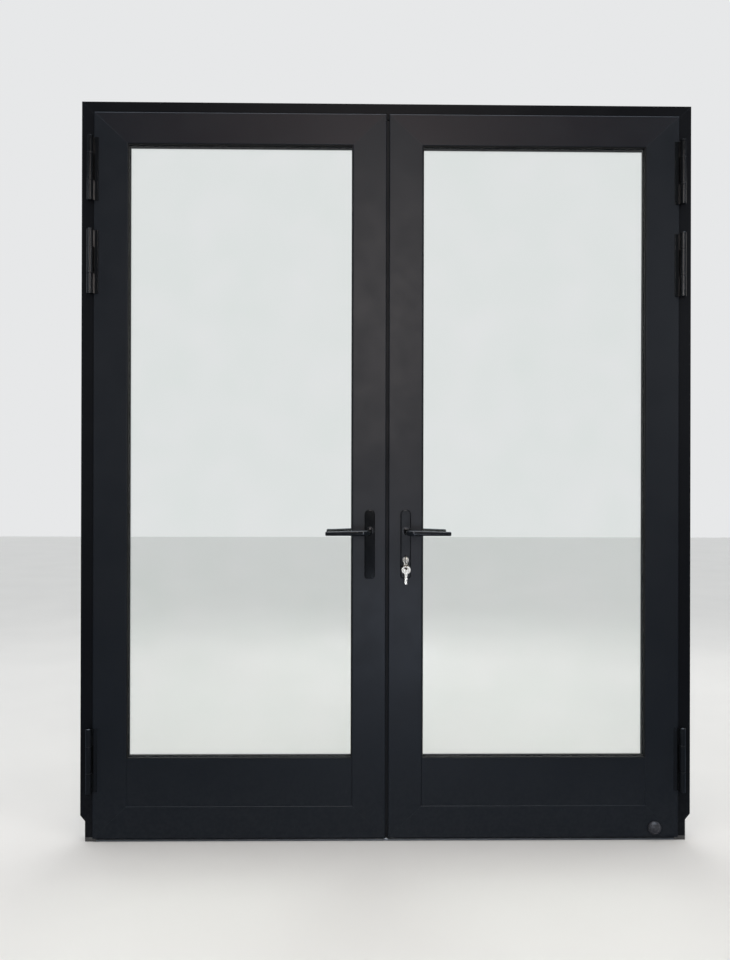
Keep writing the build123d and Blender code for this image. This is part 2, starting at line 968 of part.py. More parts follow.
def bottom_brush(side):
    # Holder under the bottom rail's tube, and the bristles that sweep the sill.
    x0, x1 = leaf_span(side)
    left = x0 + overhang + brush_end_gap
    right = x1 - overhang - brush_end_gap
    top = leaf_bottom + overhang
    y0 = leaf_middle - bristle_depth / 2
    y1 = leaf_middle + bristle_depth / 2
    holder = block(
        left,
        right,
        leaf_middle - brush_holder_depth / 2,
        leaf_middle + brush_holder_depth / 2,
        top - brush_holder_height,
        top,
    )
    slot = block(x0, x1, y0, y1, 0, top - bristle_root)
    bristles = block(left, right, y0, y1, threshold_height + seal_gap, top - bristle_root)
    return [holder - slot, bristles]


def handle_plate(x, with_cylinder):
    # Front plate; the back one is its mirror image.
    high = plate_above_spindle
    low = plate_above_spindle - plate_length
    half = plate_width / 2
    shape = rectangle(-half, half, low, high)
    shape = round_corners(shape, [(-half, high), (half, high)], plate_top_radius)
    shape = round_corners(shape, [(-half, low), (half, low)], plate_foot_radius)
    plane = Plane(origin=(x, leaf_front, spindle_height), x_dir=(1, 0, 0), z_dir=(0, -1, 0))
    part = extrude(plane * shape, plate_thickness)
    part = fillet(part.faces().sort_by(Axis.Y)[0].edges(), plate_edge)
    y0 = leaf_front - plate_thickness - past
    y1 = leaf_front + past
    part -= rod_along_y(x, spindle_height, neck_radius + neck_gap, y0, y1)
    if with_cylinder:
        part -= cylinder_prism(bolt_clearance, y0, y1)
    return part


def behind(part):
    # The same piece on the back of the leaf.
    return mirror(part, Plane(origin=(0, leaf_middle, 0), z_dir=(0, 1, 0)))


def handle_plates(side):
    x = active_spindle_x if side > 0 else passive_spindle_x
    part = handle_plate(x, side > 0)
    return [part, behind(part)]


def lever():
    # Front lever for a spindle on the Y axis, its grip towards +X, leaf face at Y 0.
    start = -plate_thickness
    grip_start = lever_bend + past
    path = FilletPolyline(
        (0, start, 0),
        (0, -lever_standoff, -lever_drop),
        (grip_start, -lever_standoff, -lever_drop),
        radius=lever_bend,
    )
    neck_plane = Plane(origin=(0, start, 0), x_dir=(1, 0, 0), z_dir=path % 0)
    part = sweep(neck_plane * RectangleRounded(lever_depth, lever_width, lever_rounding), path)
    # The grip tapers towards its tip and stays level underneath.
    tip_drop = lever_drop + (lever_width - tip_width) / 2
    thick_end = Plane(origin=(grip_start, -lever_standoff, -lever_drop), x_dir=(0, 1, 0), z_dir=(1, 0, 0))
    thin_end = Plane(origin=(lever_reach, -lever_standoff, -tip_drop), x_dir=(0, 1, 0), z_dir=(1, 0, 0))
    grip = loft(
        [
            thick_end * RectangleRounded(lever_depth, lever_width, lever_rounding),
            thin_end * RectangleRounded(tip_depth, tip_width, tip_rounding),
        ]
    )
    end = grip.faces().sort_by(Axis.X)[-1]
    part += fillet(end.edges(), tip_rounding * 0.8)
    part += rod_along_y(0, 0, neck_radius * 1.1, start - neck_collar, start - neck_gap)
    part += rod_along_y(0, 0, neck_radius, start - past, 0)
    half = spindle_size / 2 + running_gap
    return part - block(-half, half, -socket_depth, past, -half, half)


def levers(side):
    part = lever()
    x = active_spindle_x
    if side < 0:
        part = mirror(part, Plane.YZ)
        x = passive_spindle_x
    part = Pos(x, leaf_front, spindle_height) * part
    return [part, behind(part)]


def square_spindle(x):
    reach = socket_depth - bolt_clearance
    half = spindle_size / 2
    return block(
        x - half,
        x + half,
        leaf_front - reach,
        leaf_back + reach,
        spindle_height - half,
        spindle_height + half,
    )


def follower(x, horn):
    # Turns with the spindle inside the case; its horn pulls the latch back.
    half = bolt_thickness / 2
    part = rod_along_y(x, spindle_height, follower_radius, leaf_middle - half, leaf_middle + half)
    if horn:
        part += block(
            x - horn_width / 2,
            x + horn_width / 2,
            leaf_middle - half / 2,
            leaf_middle + half / 2,
            spindle_height,
            spindle_height + horn_radius,
        )
    edge = spindle_size / 2 + running_gap
    hole = block(
        x - edge, x + edge, leaf_front, leaf_back, spindle_height - edge, spindle_height + edge
    )
    return part - hole


def cylinder_prism(grow, y0, y1):
    # The cylinder's outline, a circle over a narrow round-ended leg.
    x = active_spindle_x
    half = cylinder_leg / 2 + grow
    low = cylinder_z + cylinder_radius - cylinder_height + cylinder_leg / 2
    part = rod_along_y(x, cylinder_z, cylinder_radius + grow, y0, y1)
    part += block(x - half, x + half, y0, y1, low, cylinder_z)
    return part + rod_along_y(x, low, half, y0, y1)


def cylinder_body():
    part = cylinder_prism(0, cylinder_front, cylinder_back)
    part -= rod_along_y(
        active_spindle_x,
        cylinder_z,
        plug_radius + running_gap,
        cylinder_front - past,
        cylinder_back + past,
    )
    room = cam_radius + bolt_clearance
    half = cam_width / 2 + bolt_clearance
    return part - block(
        active_spindle_x - room,
        active_spindle_x + room,
        leaf_middle - half,
        leaf_middle + half,
        cylinder_z - room,
        cylinder_z + room,
    )


def cylinder_plug():
    # Plug from front to back with the cam in the middle and a keyway in front.
    x = active_spindle_x
    part = rod_along_y(x, cylinder_z, plug_radius, cylinder_front, cylinder_back)
    half = cam_width / 2
    part += rod_along_y(x, cylinder_z, cylinder_radius, leaf_middle - half, leaf_middle + half)
    cam_low = cylinder_z - (cam_radius**2 - cam_half_thickness**2) ** 0.5
    part += block(
        x - cam_half_thickness,
        x + cam_half_thickness,
        leaf_middle - half,
        leaf_middle + half,
        cam_low,
        cylinder_z,
    )
    slot_half = key_thickness / 2 + running_gap
    blade_half = blade_width / 2 + running_gap
    deep = key_length - bow_height - key_shoulder_gap + past
    return part - block(
        x - slot_half,
        x + slot_half,
        cylinder_front - past,
        cylinder_front + deep,
        cylinder_z - blade_half,
        cylinder_z + blade_half,
    )


def key_blank():
    # Flat key in X and Z, hanging down from the middle of its bow hole.
    top = bow_hole_from_top
    bow = Pos(0, top - bow_height / 2) * RectangleRounded(bow_width, bow_height, bow_height * 0.42)
    blade_top = top - bow_height + past
    tip = top - key_length
    half = blade_width / 2
    nose = half * 0.25
    taper = half * 0.7
    blade = outline(
        [
            (-half, blade_top),
            (half, blade_top),
            (half, tip + taper),
            (nose, tip),
            (-nose, tip),
            (-half, tip + taper),
        ]
    )
    face = bow + blade - Circle(bow_hole)
    plane = Plane(origin=(0, key_thickness / 2, 0), x_dir=(1, 0, 0), z_dir=(0, -1, 0))
    return extrude(plane * face, key_thickness)


def key_in_plug():
    # Blade towards the wall and the bow upright, so it is seen edge-on from the front.
    lying = Rot(0, 90, 0) * Rot(90, 0, 0) * key_blank()
    return Pos(active_spindle_x, key_hole_y, cylinder_z) * lying


def key_ring():
    # The wire passes through the bow holes of both keys.
    ring = Rot(0, 0, 45) * Rot(90, 0, 0) * Torus(ring_radius, ring_wire)
    return Pos(active_spindle_x, key_hole_y, ring_top_z - ring_radius) * ring


def spare_key():
    z = ring_bottom_z - bow_hole + ring_wire + ring_slack
    return Pos(active_spindle_x, key_hole_y, z) * key_blank()


def latch_bolt():
    # Bevelled nose, and a tail whose notch takes the follower's horn.
    nose = lock_front - latch_throw
    tail_end = nose + latch_length
    half = bolt_thickness / 2
    bevel = latch_throw * 0.8
    shape = outline(
        [
            (nose, leaf_middle - half),
            (tail_end, leaf_middle - half),
            (tail_end, leaf_middle + half),
            (nose + bevel, leaf_middle + half),
            (nose, leaf_middle - half * 0.6),
        ]
    )
    part = Pos(0, 0, latch_z - latch_height / 2) * extrude(shape, latch_height)
    notch_half = latch_notch / 2
    return part - block(
        active_spindle_x - notch_half,
        active_spindle_x + notch_half,
        leaf_middle - half - past,
        leaf_middle + half + past,
        latch_z - latch_height,
        spindle_height + horn_radius + horn_clearance,
    )


def dead_bolt():
    # Square bolt with a tail reaching down towards the cam.
    half = bolt_thickness / 2
    tall = dead_bolt_height / 2
    front = lock_front + bolt_rest_inset
    end = front + dead_bolt_length
    y0 = leaf_middle - half
    y1 = leaf_middle + half
    part = block(front, end, y0, y1, dead_bolt_z - tall, dead_bolt_z + tall)
    tail_front = meeting_tube + dead_bolt_throw + bolt_clearance
    tail_low = cylinder_z + cam_radius + tail_clearance
    return part + block(tail_front, end, y0, y1, tail_low, dead_bolt_z)


def lock_case():
    # Steel box behind the faceplate, open at the front edge for the two bolts.
    x0 = meeting_tube
    x1 = x0 + case_depth
    low = spindle_height - case_below_spindle
    high = spindle_height + case_above_spindle
    part = lock_slot(x0, x1, low, high, case_thickness)
    part -= lock_slot(
        x0 - past, x1 - case_wall, low + case_wall, high - case_wall, case_thickness - 2 * case_wall
    )
    part -= rod_along_y(active_spindle_x, spindle_height, follower_hole_radius, leaf_front, leaf_back)
    return part - cylinder_prism(bolt_clearance, leaf_front, leaf_back)


def latch_window(x0, x1):
    half = latch_height / 2 + bolt_clearance
    return lock_slot(x0, x1, latch_z - half, latch_z + half, bolt_thickness + 2 * bolt_clearance)


def dead_bolt_window(x0, x1):
    half = dead_bolt_height / 2 + bolt_clearance
    return lock_slot(
        x0, x1, dead_bolt_z - half, dead_bolt_z + half, bolt_thickness + 2 * bolt_clearance
    )


def edge_plate(x0, x1, low, high):
    # Round-ended plate on a tube's side, with a screw hole near each end.
    middle = (low + high) / 2
    shape = RectangleRounded(faceplate_width, high - low, faceplate_width / 3)
    plane = Plane(origin=(x0, leaf_middle, middle), x_dir=(0, 1, 0), z_dir=(1, 0, 0))
    part = extrude(plane * shape, x1 - x0)
    for z in (low + screw_inset, high - screw_inset):
        part -= rod_along_x(leaf_middle, z, screw_radius, x0 - past, x1 + past)
    return part - latch_window(x0 - past, x1 + past) - dead_bolt_window(x0 - past, x1 + past)


def lock_faceplate():
    return edge_plate(
        lock_front,
        meeting_tube,
        spindle_height - case_below_spindle - faceplate_beyond,
        spindle_height + case_above_spindle + faceplate_beyond,
    )


def strike_plate():
    return edge_plate(
        interlock_right,
        interlock_right + strike_thickness,
        dead_bolt_z - strike_beyond,
        latch_z + strike_beyond,
    )


def interlock_section():
    flange_end = interlock_flange_end
    outer = outline(
        [
            (interlock_left, frame_front),
            (interlock_right, frame_front),
            (interlock_right, frame_back - stop_thickness),
            (flange_end - stop_thickness, frame_back - stop_thickness),
            (flange_end - stop_thickness, frame_back - stop_lip),
            (flange_end, frame_back - stop_lip),
            (flange_end, frame_back),
            (interlock_left, frame_back),
        ]
    )
    chamber = rectangle(
        interlock_left + profile_wall,
        interlock_right - profile_wall,
        frame_front + profile_wall,
        frame_back - profile_wall,
    )
    return outer - chamber


def interlock():
    # Rebate profile on the passive leaf, behind the gap between the leaves.
    part = Pos(0, 0, interlock_bottom) * extrude(interlock_section(), interlock_top - interlock_bottom)
    x0 = interlock_right - profile_wall - past
    x1 = interlock_right + past
    part -= latch_window(x0, x1)
    part -= dead_bolt_window(x0, x1)
    for up in (True, False):
        part -= lug_slot(up, interlock_left - past, interlock_left + profile_wall + past)
    return part


def interlock_cap(low, high, back, plug_low, plug_high):
    gap = profile_wall + cleat_gap
    part = block(interlock_left + bolt_clearance, interlock_right, frame_front, back, low, high)
    part += block(
        interlock_left + gap,
        interlock_right - gap,
        frame_front + gap,
        frame_back - gap,
        plug_low,
        plug_high,
    )
    hole = rod_radius + rod_hole_gap
    return part - rod_along_z(
        rod_x, leaf_middle, hole, min(low, plug_low) - past, max(high, plug_high) + past
    )


def interlock_caps():
    top = interlock_cap(
        interlock_top, leaf_top - overhang, leaf_back, interlock_top - interlock_plug, interlock_top
    )
    bottom = interlock_cap(
        threshold_height + interlock_foot_gap,
        interlock_bottom,
        frame_back,
        interlock_bottom,
        interlock_bottom + interlock_plug,
    )
    return [top, bottom]


def flush_bolt(up):
    # Long rod in the interlock with the lug that the gear drives.
    half = lug_size / 2
    if up:
        end = under_head + head_engagement
        lug = spindle_height + lug_from_spindle
        part = rod_along_z(rod_x, leaf_middle, rod_radius, lug - half, end)
    else:
        end = threshold_height - sill_engagement
        lug = spindle_height - lug_from_spindle
        part = rod_along_z(rod_x, leaf_middle, rod_radius, end, lug + half)
    tip = part.faces().sort_by(Axis.Z)[-1 if up else 0]
    part = chamfer(tip.edges(), rod_radius / 4)
    lug_end = interlock_left - profile_wall - lug_reach
    return part + lock_slot(lug_end, rod_x, lug - half, lug + half, lug_size - 2 * bolt_clearance)


def bolt_gear_case():
    # Box in the passive stile's chamber, open towards the flush bolts.
    x1 = -meeting_tube - profile_wall
    x0 = x1 - gear_depth
    low = spindle_height - gear_half_height
    high = spindle_height + gear_half_height
    part = lock_slot(x0, x1, low, high, case_thickness)
    part -= lock_slot(
        x0 + case_wall, x1 + past, low + case_wall, high - case_wall, case_thickness - 2 * case_wall
    )
    return part - rod_along_y(
        passive_spindle_x, spindle_height, follower_hole_radius, leaf_front, leaf_back
    )


def door_stop():
    # Turned disc with a low dome on the active leaf's bottom rail.
    profile = outline(
        [
            (0, 0),
            (stop_radius, 0),
            (stop_radius, stop_projection * 0.4),
            (stop_radius * 0.92, stop_projection * 0.55),
            (stop_radius * 0.72, stop_projection * 0.85),
            (stop_radius * 0.35, stop_projection),
            (0, stop_projection),
        ]
    )
    disc = Rot(90, 0, 0) * revolve(Plane.XZ * profile, Axis.Z)
    return Pos(leaf_outer - stop_from_edge, leaf_front, stop_from_floor) * disc


def leaf_nodes(side, name):
    bars = leaf_members(side)
    leaf_hinges = hinge_leaf_parts()
    if side > 0:
        leaf_hinges = [mirror(part, Plane.YZ) for part in leaf_hinges]
        meeting = active_meeting_stile(bars)
        seals = glazing_gaskets(side) + [leaf_seal(side)]
    else:
        meeting = passive_meeting_stile(bars)
        seals = glazing_gaskets(side) + [leaf_seal(side), interlock_seal()]
    return {
        "hinge_stile_" + name: hinge_stile(bars, side),
        "meeting_stile_" + name: meeting,
        "top_rail_" + name: bars["top"],
        "bottom_rail_" + name: bars["bottom"],
        "kick_rail_" + name: kick_rail(side),
        "corner_cleats_" + name: leaf_corner_cleats(side),
        "panes_" + name: panes(side),
        "pane_spacer_" + name: pane_spacer(side),
        "setting_blocks_" + name: setting_blocks(side),
        "seals_" + name: seals,
        "glazing_beads_" + name: beads(side),
        "bottom_brush_" + name: bottom_brush(side),
        "hinge_leaf_parts_" + name: leaf_hinges,
        "handle_plates_" + name: handle_plates(side),
        "levers_" + name: levers(side),
    }


def frame_nodes():
    left_jamb = jamb()
    return {
        "jamb_left": left_jamb,
        "jamb_right": mirror(left_jamb, Plane.YZ),
        "head": head(),
        "threshold": threshold(),
        "threshold_end_blocks": threshold_end_blocks(),
        "frame_corner_cleats": frame_corner_cleats(),
        "frame_seals": frame_seals(),
        "hinge_frame_parts": both_hinge_rows(hinge_frame_part),
        "hinge_pins": both_hinge_rows(hinge_pin),
        "hinge_bushes": both_hinge_rows(hinge_bushes),
        "bolt_keepers": bolt_keepers(),
    }


def lock_nodes():
    return {
        "interlock": interlock(),
        "interlock_caps": interlock_caps(),
        "strike_plate": strike_plate(),
        "bolt_gear_case": bolt_gear_case(),
        "spindle_left": [square_spindle(passive_spindle_x), follower(passive_spindle_x, False)],
        "flush_bolt_top": flush_bolt(True),
        "flush_bolt_bottom": flush_bolt(False),
        "lock_case": lock_case(),
        "lock_faceplate": lock_faceplate(),
        "spindle_right": [square_spindle(active_spindle_x), follower(active_spindle_x, True)],
        "latch_bolt": latch_bolt(),
        "dead_bolt": dead_bolt(),
        "cylinder_body": cylinder_body(),
        "cylinder_plug": cylinder_plug(),
        "key_in_plug": key_in_plug(),
        "key_ring": key_ring(),
        "spare_key": spare_key(),
        "door_stop": door_stop(),
    }


def write_node(name, made):
    pieces = made if isinstance(made, list) else [made]
    solids = [solid for piece in pieces for solid in piece.solids()]
    export_step(Compound(solids), os.path.join("parts", name + ".step"))


def build():
    os.makedirs("parts", exist_ok=True)
    nodes = frame_nodes()
    nodes.update(leaf_nodes(-1, "left"))
    nodes.update(leaf_nodes(1, "right"))
    nodes.update(lock_nodes())
    for name, made in nodes.items():
        write_node(name, made)
    print(len(nodes), "nodes")


build()
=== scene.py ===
import math

import bmesh
import bpy
from mathutils import Matrix, Vector


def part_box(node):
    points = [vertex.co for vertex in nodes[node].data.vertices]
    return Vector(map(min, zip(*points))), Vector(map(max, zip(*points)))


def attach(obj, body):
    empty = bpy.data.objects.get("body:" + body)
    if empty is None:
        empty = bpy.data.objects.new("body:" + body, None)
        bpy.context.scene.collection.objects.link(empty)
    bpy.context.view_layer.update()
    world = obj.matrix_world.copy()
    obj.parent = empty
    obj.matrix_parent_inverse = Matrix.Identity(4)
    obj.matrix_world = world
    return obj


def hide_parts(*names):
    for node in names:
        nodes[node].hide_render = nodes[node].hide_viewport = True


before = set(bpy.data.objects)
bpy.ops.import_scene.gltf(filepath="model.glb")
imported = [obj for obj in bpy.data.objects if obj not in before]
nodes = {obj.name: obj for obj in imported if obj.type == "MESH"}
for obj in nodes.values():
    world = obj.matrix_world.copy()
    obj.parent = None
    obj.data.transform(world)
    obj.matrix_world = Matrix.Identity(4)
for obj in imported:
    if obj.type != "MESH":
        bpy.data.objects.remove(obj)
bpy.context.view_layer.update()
mm = 0.001
print("door frame loaded:", len(nodes), "parts")


def linearColour(code):  # sRGB hex to the linear colour that a shader takes
    parts = [int(code[i:i + 2], 16) / 255 for i in (1, 3, 5)]
    linear = [c / 12.92 if c <= 0.04045 else ((c + 0.055) / 1.055) ** 2.4 for c in parts]
    return (*linear, 1)


def addNode(tree, kind, settings=None, links=None):  # settings are properties or input values
    node = tree.nodes.new(kind)
    for name, value in (settings or {}).items():
        if isinstance(name, str) and hasattr(node, name):
            setattr(node, name, value)
        else:
            node.inputs[name].default_value = value
    for name, socket in (links or {}).items():
        tree.links.new(socket, node.inputs[name])
    return node


def startMaterial(name, shader):  # an empty material with its surface shader joined to the output
    material = bpy.data.materials.new(name)
    material.use_nodes = True
    tree = material.node_tree
    tree.nodes.clear()
    surface = addNode(tree, "ShaderNodeBsdfPrincipled", shader)
    addNode(tree, "ShaderNodeOutputMaterial", {}, {"Surface": surface.outputs[0]})
    place = addNode(tree, "ShaderNodeTexCoord").outputs["Object"]
    return material, tree, surface, place


def joinSurface(tree, surface, colour, rough, bump):  # a Mix node gives its colour at output 2
    tree.links.new(colour.outputs[2], surface.inputs["Base Color"])
    tree.links.new(rough.outputs[0], surface.inputs["Roughness"])
    tree.links.new(bump.outputs[0], surface.inputs["Normal"])


# Where in its noise each pattern starts to show, and where it is full.
spread = {
    "rubbedEdgeAndHighlight": (0.985, 0.8),  # here the cosine between the true and the rounded normal
    "dustPatches": (0.38, 0.62),
    "handMarks": (0.35, 0.65),
    "stain": (0.48, 0.7),
    "dieLines": (0.3, 0.9),
    "bloom": (0.52, 0.72),
    "mouldSheen": (0.35, 0.65),
    "fibreDust": (0.5, 0.7),
    "smear": (0.45, 0.75),
}

# Anthracite polyester powder on extruded aluminium, satin: near-black blue-grey with a soft broad
# shine and a faint orange peel. The foot of a door picks up pale splash dust.
anthraciteCoat = {
    "dark": "#0b1016",
    "light": "#12171e",
    # the lighter edge colour: partly rubbed coat, partly a painted edge highlight
    "dust": "#585d60",
    "worn": "#4b5056",
    "cloudSize": 420 * mm,
    "dustHeight": 260 * mm,
    "dustAmount": 0.06,
    "dustLeast": 0.25,  # share of it between the patches
    "dustGrain": 9 * mm,
    "wearAndHighlightAmount": 0.3,
    "peelSize": 2.4 * mm,  # real peel is about 1.5 mm, drawn a little coarser to show close up
    "peelDepth": 0.02 * mm,
    "handling": 70 * mm,
    "rough": (0.36, 0.41),
    "specular": 0.4,
    "edgeRound": 0.7 * mm,
}

# The frame stands back from the leaves: darker as painted shade, with less sky in its shine.
frameCoatPaintedShade = {**anthraciteCoat, "dark": "#08090d", "light": "#0c0e12", "specular": 0.17}

# Inside the gap between the leaves the coat sees little light: its weak, rough shine is painted
# shade.
gapCoatPaintedShade = {
    **anthraciteCoat, "dark": "#101216", "light": "#171a1e",
    "rough": (0.45, 0.55), "specular": 0.22,
}

# Stove-enamelled black on levers and small fittings: deeper and glossier, with finger marks.
blackEnamel = {
    "dark": "#08090a",
    "light": "#0f1012",
    "dust": "#4e4d4a",
    # the lighter edge colour: partly rubbed coat, partly a painted edge highlight
    "worn": "#333436",
    "cloudSize": 60 * mm,
    "dustHeight": 200 * mm,
    "dustAmount": 0.08,
    "dustLeast": 0.25,
    "dustGrain": 4 * mm,
    "wearAndHighlightAmount": 0.25,
    "peelSize": 1.6 * mm,
    "peelDepth": 0.004 * mm,
    "handling": 30 * mm,
    "rough": (0.11, 0.15),
    "specular": 0.6,
    "edgeRound": 0.4 * mm,
}

# Handle plates: the same enamel with a weaker shine, darker than the stile round it.
plateEnamel = {**blackEnamel, "rough": (0.1, 0.13), "specular": 0.22}

# Hinge barrels: the enamel darkened as painted shade, less dusty, so the light runs down in a thin
# line.
hingeEnamelPaintedShade = {
    **blackEnamel, "dark": "#050506", "light": "#0a0b0c",
    "dustAmount": 0.05, "rough": (0.13, 0.17),
}


def coatedMetal(name, coat):
    material, tree, surface, place = startMaterial(name, {"Specular IOR Level": coat["specular"]})
    cloud = addNode(tree, "ShaderNodeTexNoise", {
        "Scale": 1 / coat["cloudSize"], "Detail": 4.0,
    }, {"Vector": place})
    shade = addNode(tree, "ShaderNodeMix", {
        "data_type": "RGBA", 6: linearColour(coat["dark"]), 7: linearColour(coat["light"]),
    }, {0: cloud.outputs[0]})

    # edges: where a rounded normal leaves the true one: lighter colour, part rubbed coat, part
    # painted highlight
    rounded = addNode(tree, "ShaderNodeBevel", {"samples": 6, "Radius": coat["edgeRound"]})
    flat = addNode(tree, "ShaderNodeNewGeometry")
    across = addNode(tree, "ShaderNodeVectorMath", {"operation": "DOT_PRODUCT"}, {
        0: rounded.outputs[0], 1: flat.outputs["Normal"],
    })
    edge = addNode(tree, "ShaderNodeMapRange", {
        "From Min": spread["rubbedEdgeAndHighlight"][0], "From Max": spread["rubbedEdgeAndHighlight"][1],
        "To Min": 0.0, "To Max": coat["wearAndHighlightAmount"],
    }, {"Value": across.outputs["Value"]})
    rubbed = addNode(tree, "ShaderNodeMix", {
        "data_type": "RGBA", 7: linearColour(coat["worn"]),
    }, {0: edge.outputs[0], 6: shade.outputs[2]})

    # dust: strongest at the foot, broken up by grain
    height = addNode(tree, "ShaderNodeSeparateXYZ", {}, {0: place})
    low = addNode(tree, "ShaderNodeMapRange", {
        "From Min": 0.0, "From Max": coat["dustHeight"],
        "To Min": coat["dustAmount"], "To Max": 0.0,
    }, {"Value": height.outputs["Z"]})
    grain = addNode(tree, "ShaderNodeTexNoise", {
        "Scale": 1 / coat["dustGrain"], "Detail": 6.0,
    }, {"Vector": place})
    patches = addNode(tree, "ShaderNodeMapRange", {
        "From Min": spread["dustPatches"][0], "From Max": spread["dustPatches"][1],
        "To Min": coat["dustLeast"], "To Max": 1.0,
    }, {"Value": grain.outputs[0]})
    dusty = addNode(tree, "ShaderNodeMath", {"operation": "MULTIPLY"}, {
        0: low.outputs[0], 1: patches.outputs[0],
    })
    colour = addNode(tree, "ShaderNodeMix", {
        "data_type": "RGBA", 7: linearColour(coat["dust"]),
    }, {0: dusty.outputs[0], 6: rubbed.outputs[2]})

    # shine: uneven where hands go, and dull under the dust
    hands = addNode(tree, "ShaderNodeTexNoise", {
        "Scale": 1 / coat["handling"], "Detail": 5.0,
    }, {"Vector": place})
    rough = addNode(tree, "ShaderNodeMapRange", {
        "From Min": spread["handMarks"][0], "From Max": spread["handMarks"][1],
        "To Min": coat["rough"][0], "To Max": coat["rough"][1],
    }, {"Value": hands.outputs[0]})
    dull = addNode(tree, "ShaderNodeMath", {"operation": "ADD", "use_clamp": True}, {
        0: rough.outputs[0], 1: dusty.outputs[0],
    })
    peel = addNode(tree, "ShaderNodeTexNoise", {
        "Scale": 1 / coat["peelSize"], "Detail": 2.0,
    }, {"Vector": place})
    bump = addNode(tree, "ShaderNodeBump", {"Strength": 1.0, "Distance": coat["peelDepth"]}, {
        "Height": peel.outputs[0], "Normal": rounded.outputs[0],
    })
    joinSurface(tree, surface, colour, dull, bump)
    return material


# Silver anodised sill: fine die lines along its length, scuffed where it is stepped on.
anodisedSill = {
    "dark": "#8d9092", "light": "#b4b6b7",
    "stain": "#6f7071", "stainAmount": 0.35, "stainSize": 45 * mm,
    "lines": (60 * mm, 0.5 * mm, 0.5 * mm), "lineDepth": 0.03 * mm, "rough": (0.32, 0.5),
}
# Mill-finish aluminium as it leaves the press: paler, with coarse die lines and a white bloom.
millAluminium = {
    "dark": "#9b9d9f", "light": "#c3c5c6",
    "stain": "#d3d3d0", "stainAmount": 0.3, "stainSize": 25 * mm,
    "lines": (0.7 * mm, 30 * mm, 0.7 * mm), "lineDepth": 0.04 * mm, "rough": (0.38, 0.55),
}
# Roll-formed spacer: dark anodised strip with faint rolling lines round the pane.
rolledSpacer = {
    "dark": "#2b2c2e", "light": "#3d3f41",
    "stain": "#1f2021", "stainAmount": 0.2, "stainSize": 12 * mm,
    "lines": (3 * mm, 0.4 * mm, 3 * mm), "lineDepth": 0.02 * mm, "rough": (0.42, 0.58),
}
# Zinc-plated steel: cool grey with a slightly yellow, spangled passivation.
zincPlatedSteel = {
    "dark": "#8f9294", "light": "#b9bab6",
    "stain": "#a59f86", "stainAmount": 0.4, "stainSize": 8 * mm,
    "lines": (1.2 * mm, 1.2 * mm, 1.2 * mm), "lineDepth": 0.01 * mm, "rough": (0.28, 0.45),
}
# Stainless strip ground along its length, as lock faceplates are.
groundStainless = {
    "dark": "#9c9a96", "light": "#c9c7c2",
    "stain": "#8c8a86", "stainAmount": 0.2, "stainSize": 20 * mm,
    "lines": (0.25 * mm, 0.25 * mm, 25 * mm), "lineDepth": 0.02 * mm, "rough": (0.24, 0.4),
}
# Satin nickel over brass, on the cylinder and the keys: warm white, polished where it is touched.
satinNickel = {
    "dark": "#9c9589", "light": "#c4bdaf",
    "stain": "#786c56", "stainAmount": 0.35, "stainSize": 5 * mm,
    "lines": (0.3 * mm, 0.3 * mm, 4 * mm), "lineDepth": 0.008 * mm, "rough": (0.17, 0.28),
}
metalEdge = 0.25 * mm  # how far the edges of bare metal are rounded


def bareMetal(name, metal):
    material, tree, surface, place = startMaterial(name, {"Metallic": 1.0})
    stretch = addNode(tree, "ShaderNodeMapping", {
        "vector_type": "POINT", "Scale": [1 / length for length in metal["lines"]],
    }, {"Vector": place})
    lines = addNode(tree, "ShaderNodeTexNoise", {"Scale": 1.0, "Detail": 3.0}, {
        "Vector": stretch.outputs[0],
    })
    tone = addNode(tree, "ShaderNodeMix", {
        "data_type": "RGBA", 6: linearColour(metal["dark"]), 7: linearColour(metal["light"]),
    }, {0: lines.outputs[0]})
    cloud = addNode(tree, "ShaderNodeTexNoise", {
        "Scale": 1 / metal["stainSize"], "Detail": 5.0,
    }, {"Vector": place})
    stain = addNode(tree, "ShaderNodeMapRange", {
        "From Min": spread["stain"][0], "From Max": spread["stain"][1],
        "To Min": 0.0, "To Max": metal["stainAmount"],
    }, {"Value": cloud.outputs[0]})
    colour = addNode(tree, "ShaderNodeMix", {
        "data_type": "RGBA", 7: linearColour(metal["stain"]),
    }, {0: stain.outputs[0], 6: tone.outputs[2]})
    worn = addNode(tree, "ShaderNodeMath", {"operation": "ADD"}, {
        0: lines.outputs[0], 1: stain.outputs[0],
    })
    rough = addNode(tree, "ShaderNodeMapRange", {
        "From Min": spread["dieLines"][0], "From Max": spread["dieLines"][1],
        "To Min": metal["rough"][0], "To Max": metal["rough"][1],
    }, {"Value": worn.outputs[0]})
    rounded = addNode(tree, "ShaderNodeBevel", {"samples": 4, "Radius": metalEdge})
    bump = addNode(tree, "ShaderNodeBump", {"Strength": 1.0, "Distance": metal["lineDepth"]}, {
        "Height": lines.outputs[0], "Normal": rounded.outputs[0],
    })
    joinSurface(tree, surface, colour, rough, bump)
    return material


# EPDM gasket: matt black with a grey bloom in its folds.
epdmRubber = {
    "dark": "#0e0e0f", "light": "#1b1b1c",
    "bloom": "#3b3b3a", "bloomAmount": 0.25, "bloomSize": 14 * mm,
    "grain": 0.9 * mm, "grainDepth": 0.03 * mm, "rough": (0.6, 0.8), "specular": 0.35,
}
# Grey polyamide under the jambs: moulded, with an eroded mould texture and grime.
greyPolyamide = {
    "dark": "#3b3b3b", "light": "#4d4d4c",
    "bloom": "#6d6c68", "bloomAmount": 0.35, "bloomSize": 10 * mm,
    "grain": 0.8 * mm, "grainDepth": 0.04 * mm, "rough": (0.5, 0.68), "specular": 0.4,
}
# Black nylon in the hinge bushes and the bolt keepers: waxy, greyed where it runs.
blackNylon = {
    "dark": "#121213", "light": "#1f1f20",
    "bloom": "#4a4a49", "bloomAmount": 0.2, "bloomSize": 5 * mm,
    "grain": 0.6 * mm, "grainDepth": 0.01 * mm, "rough": (0.4, 0.55), "specular": 0.5,
}
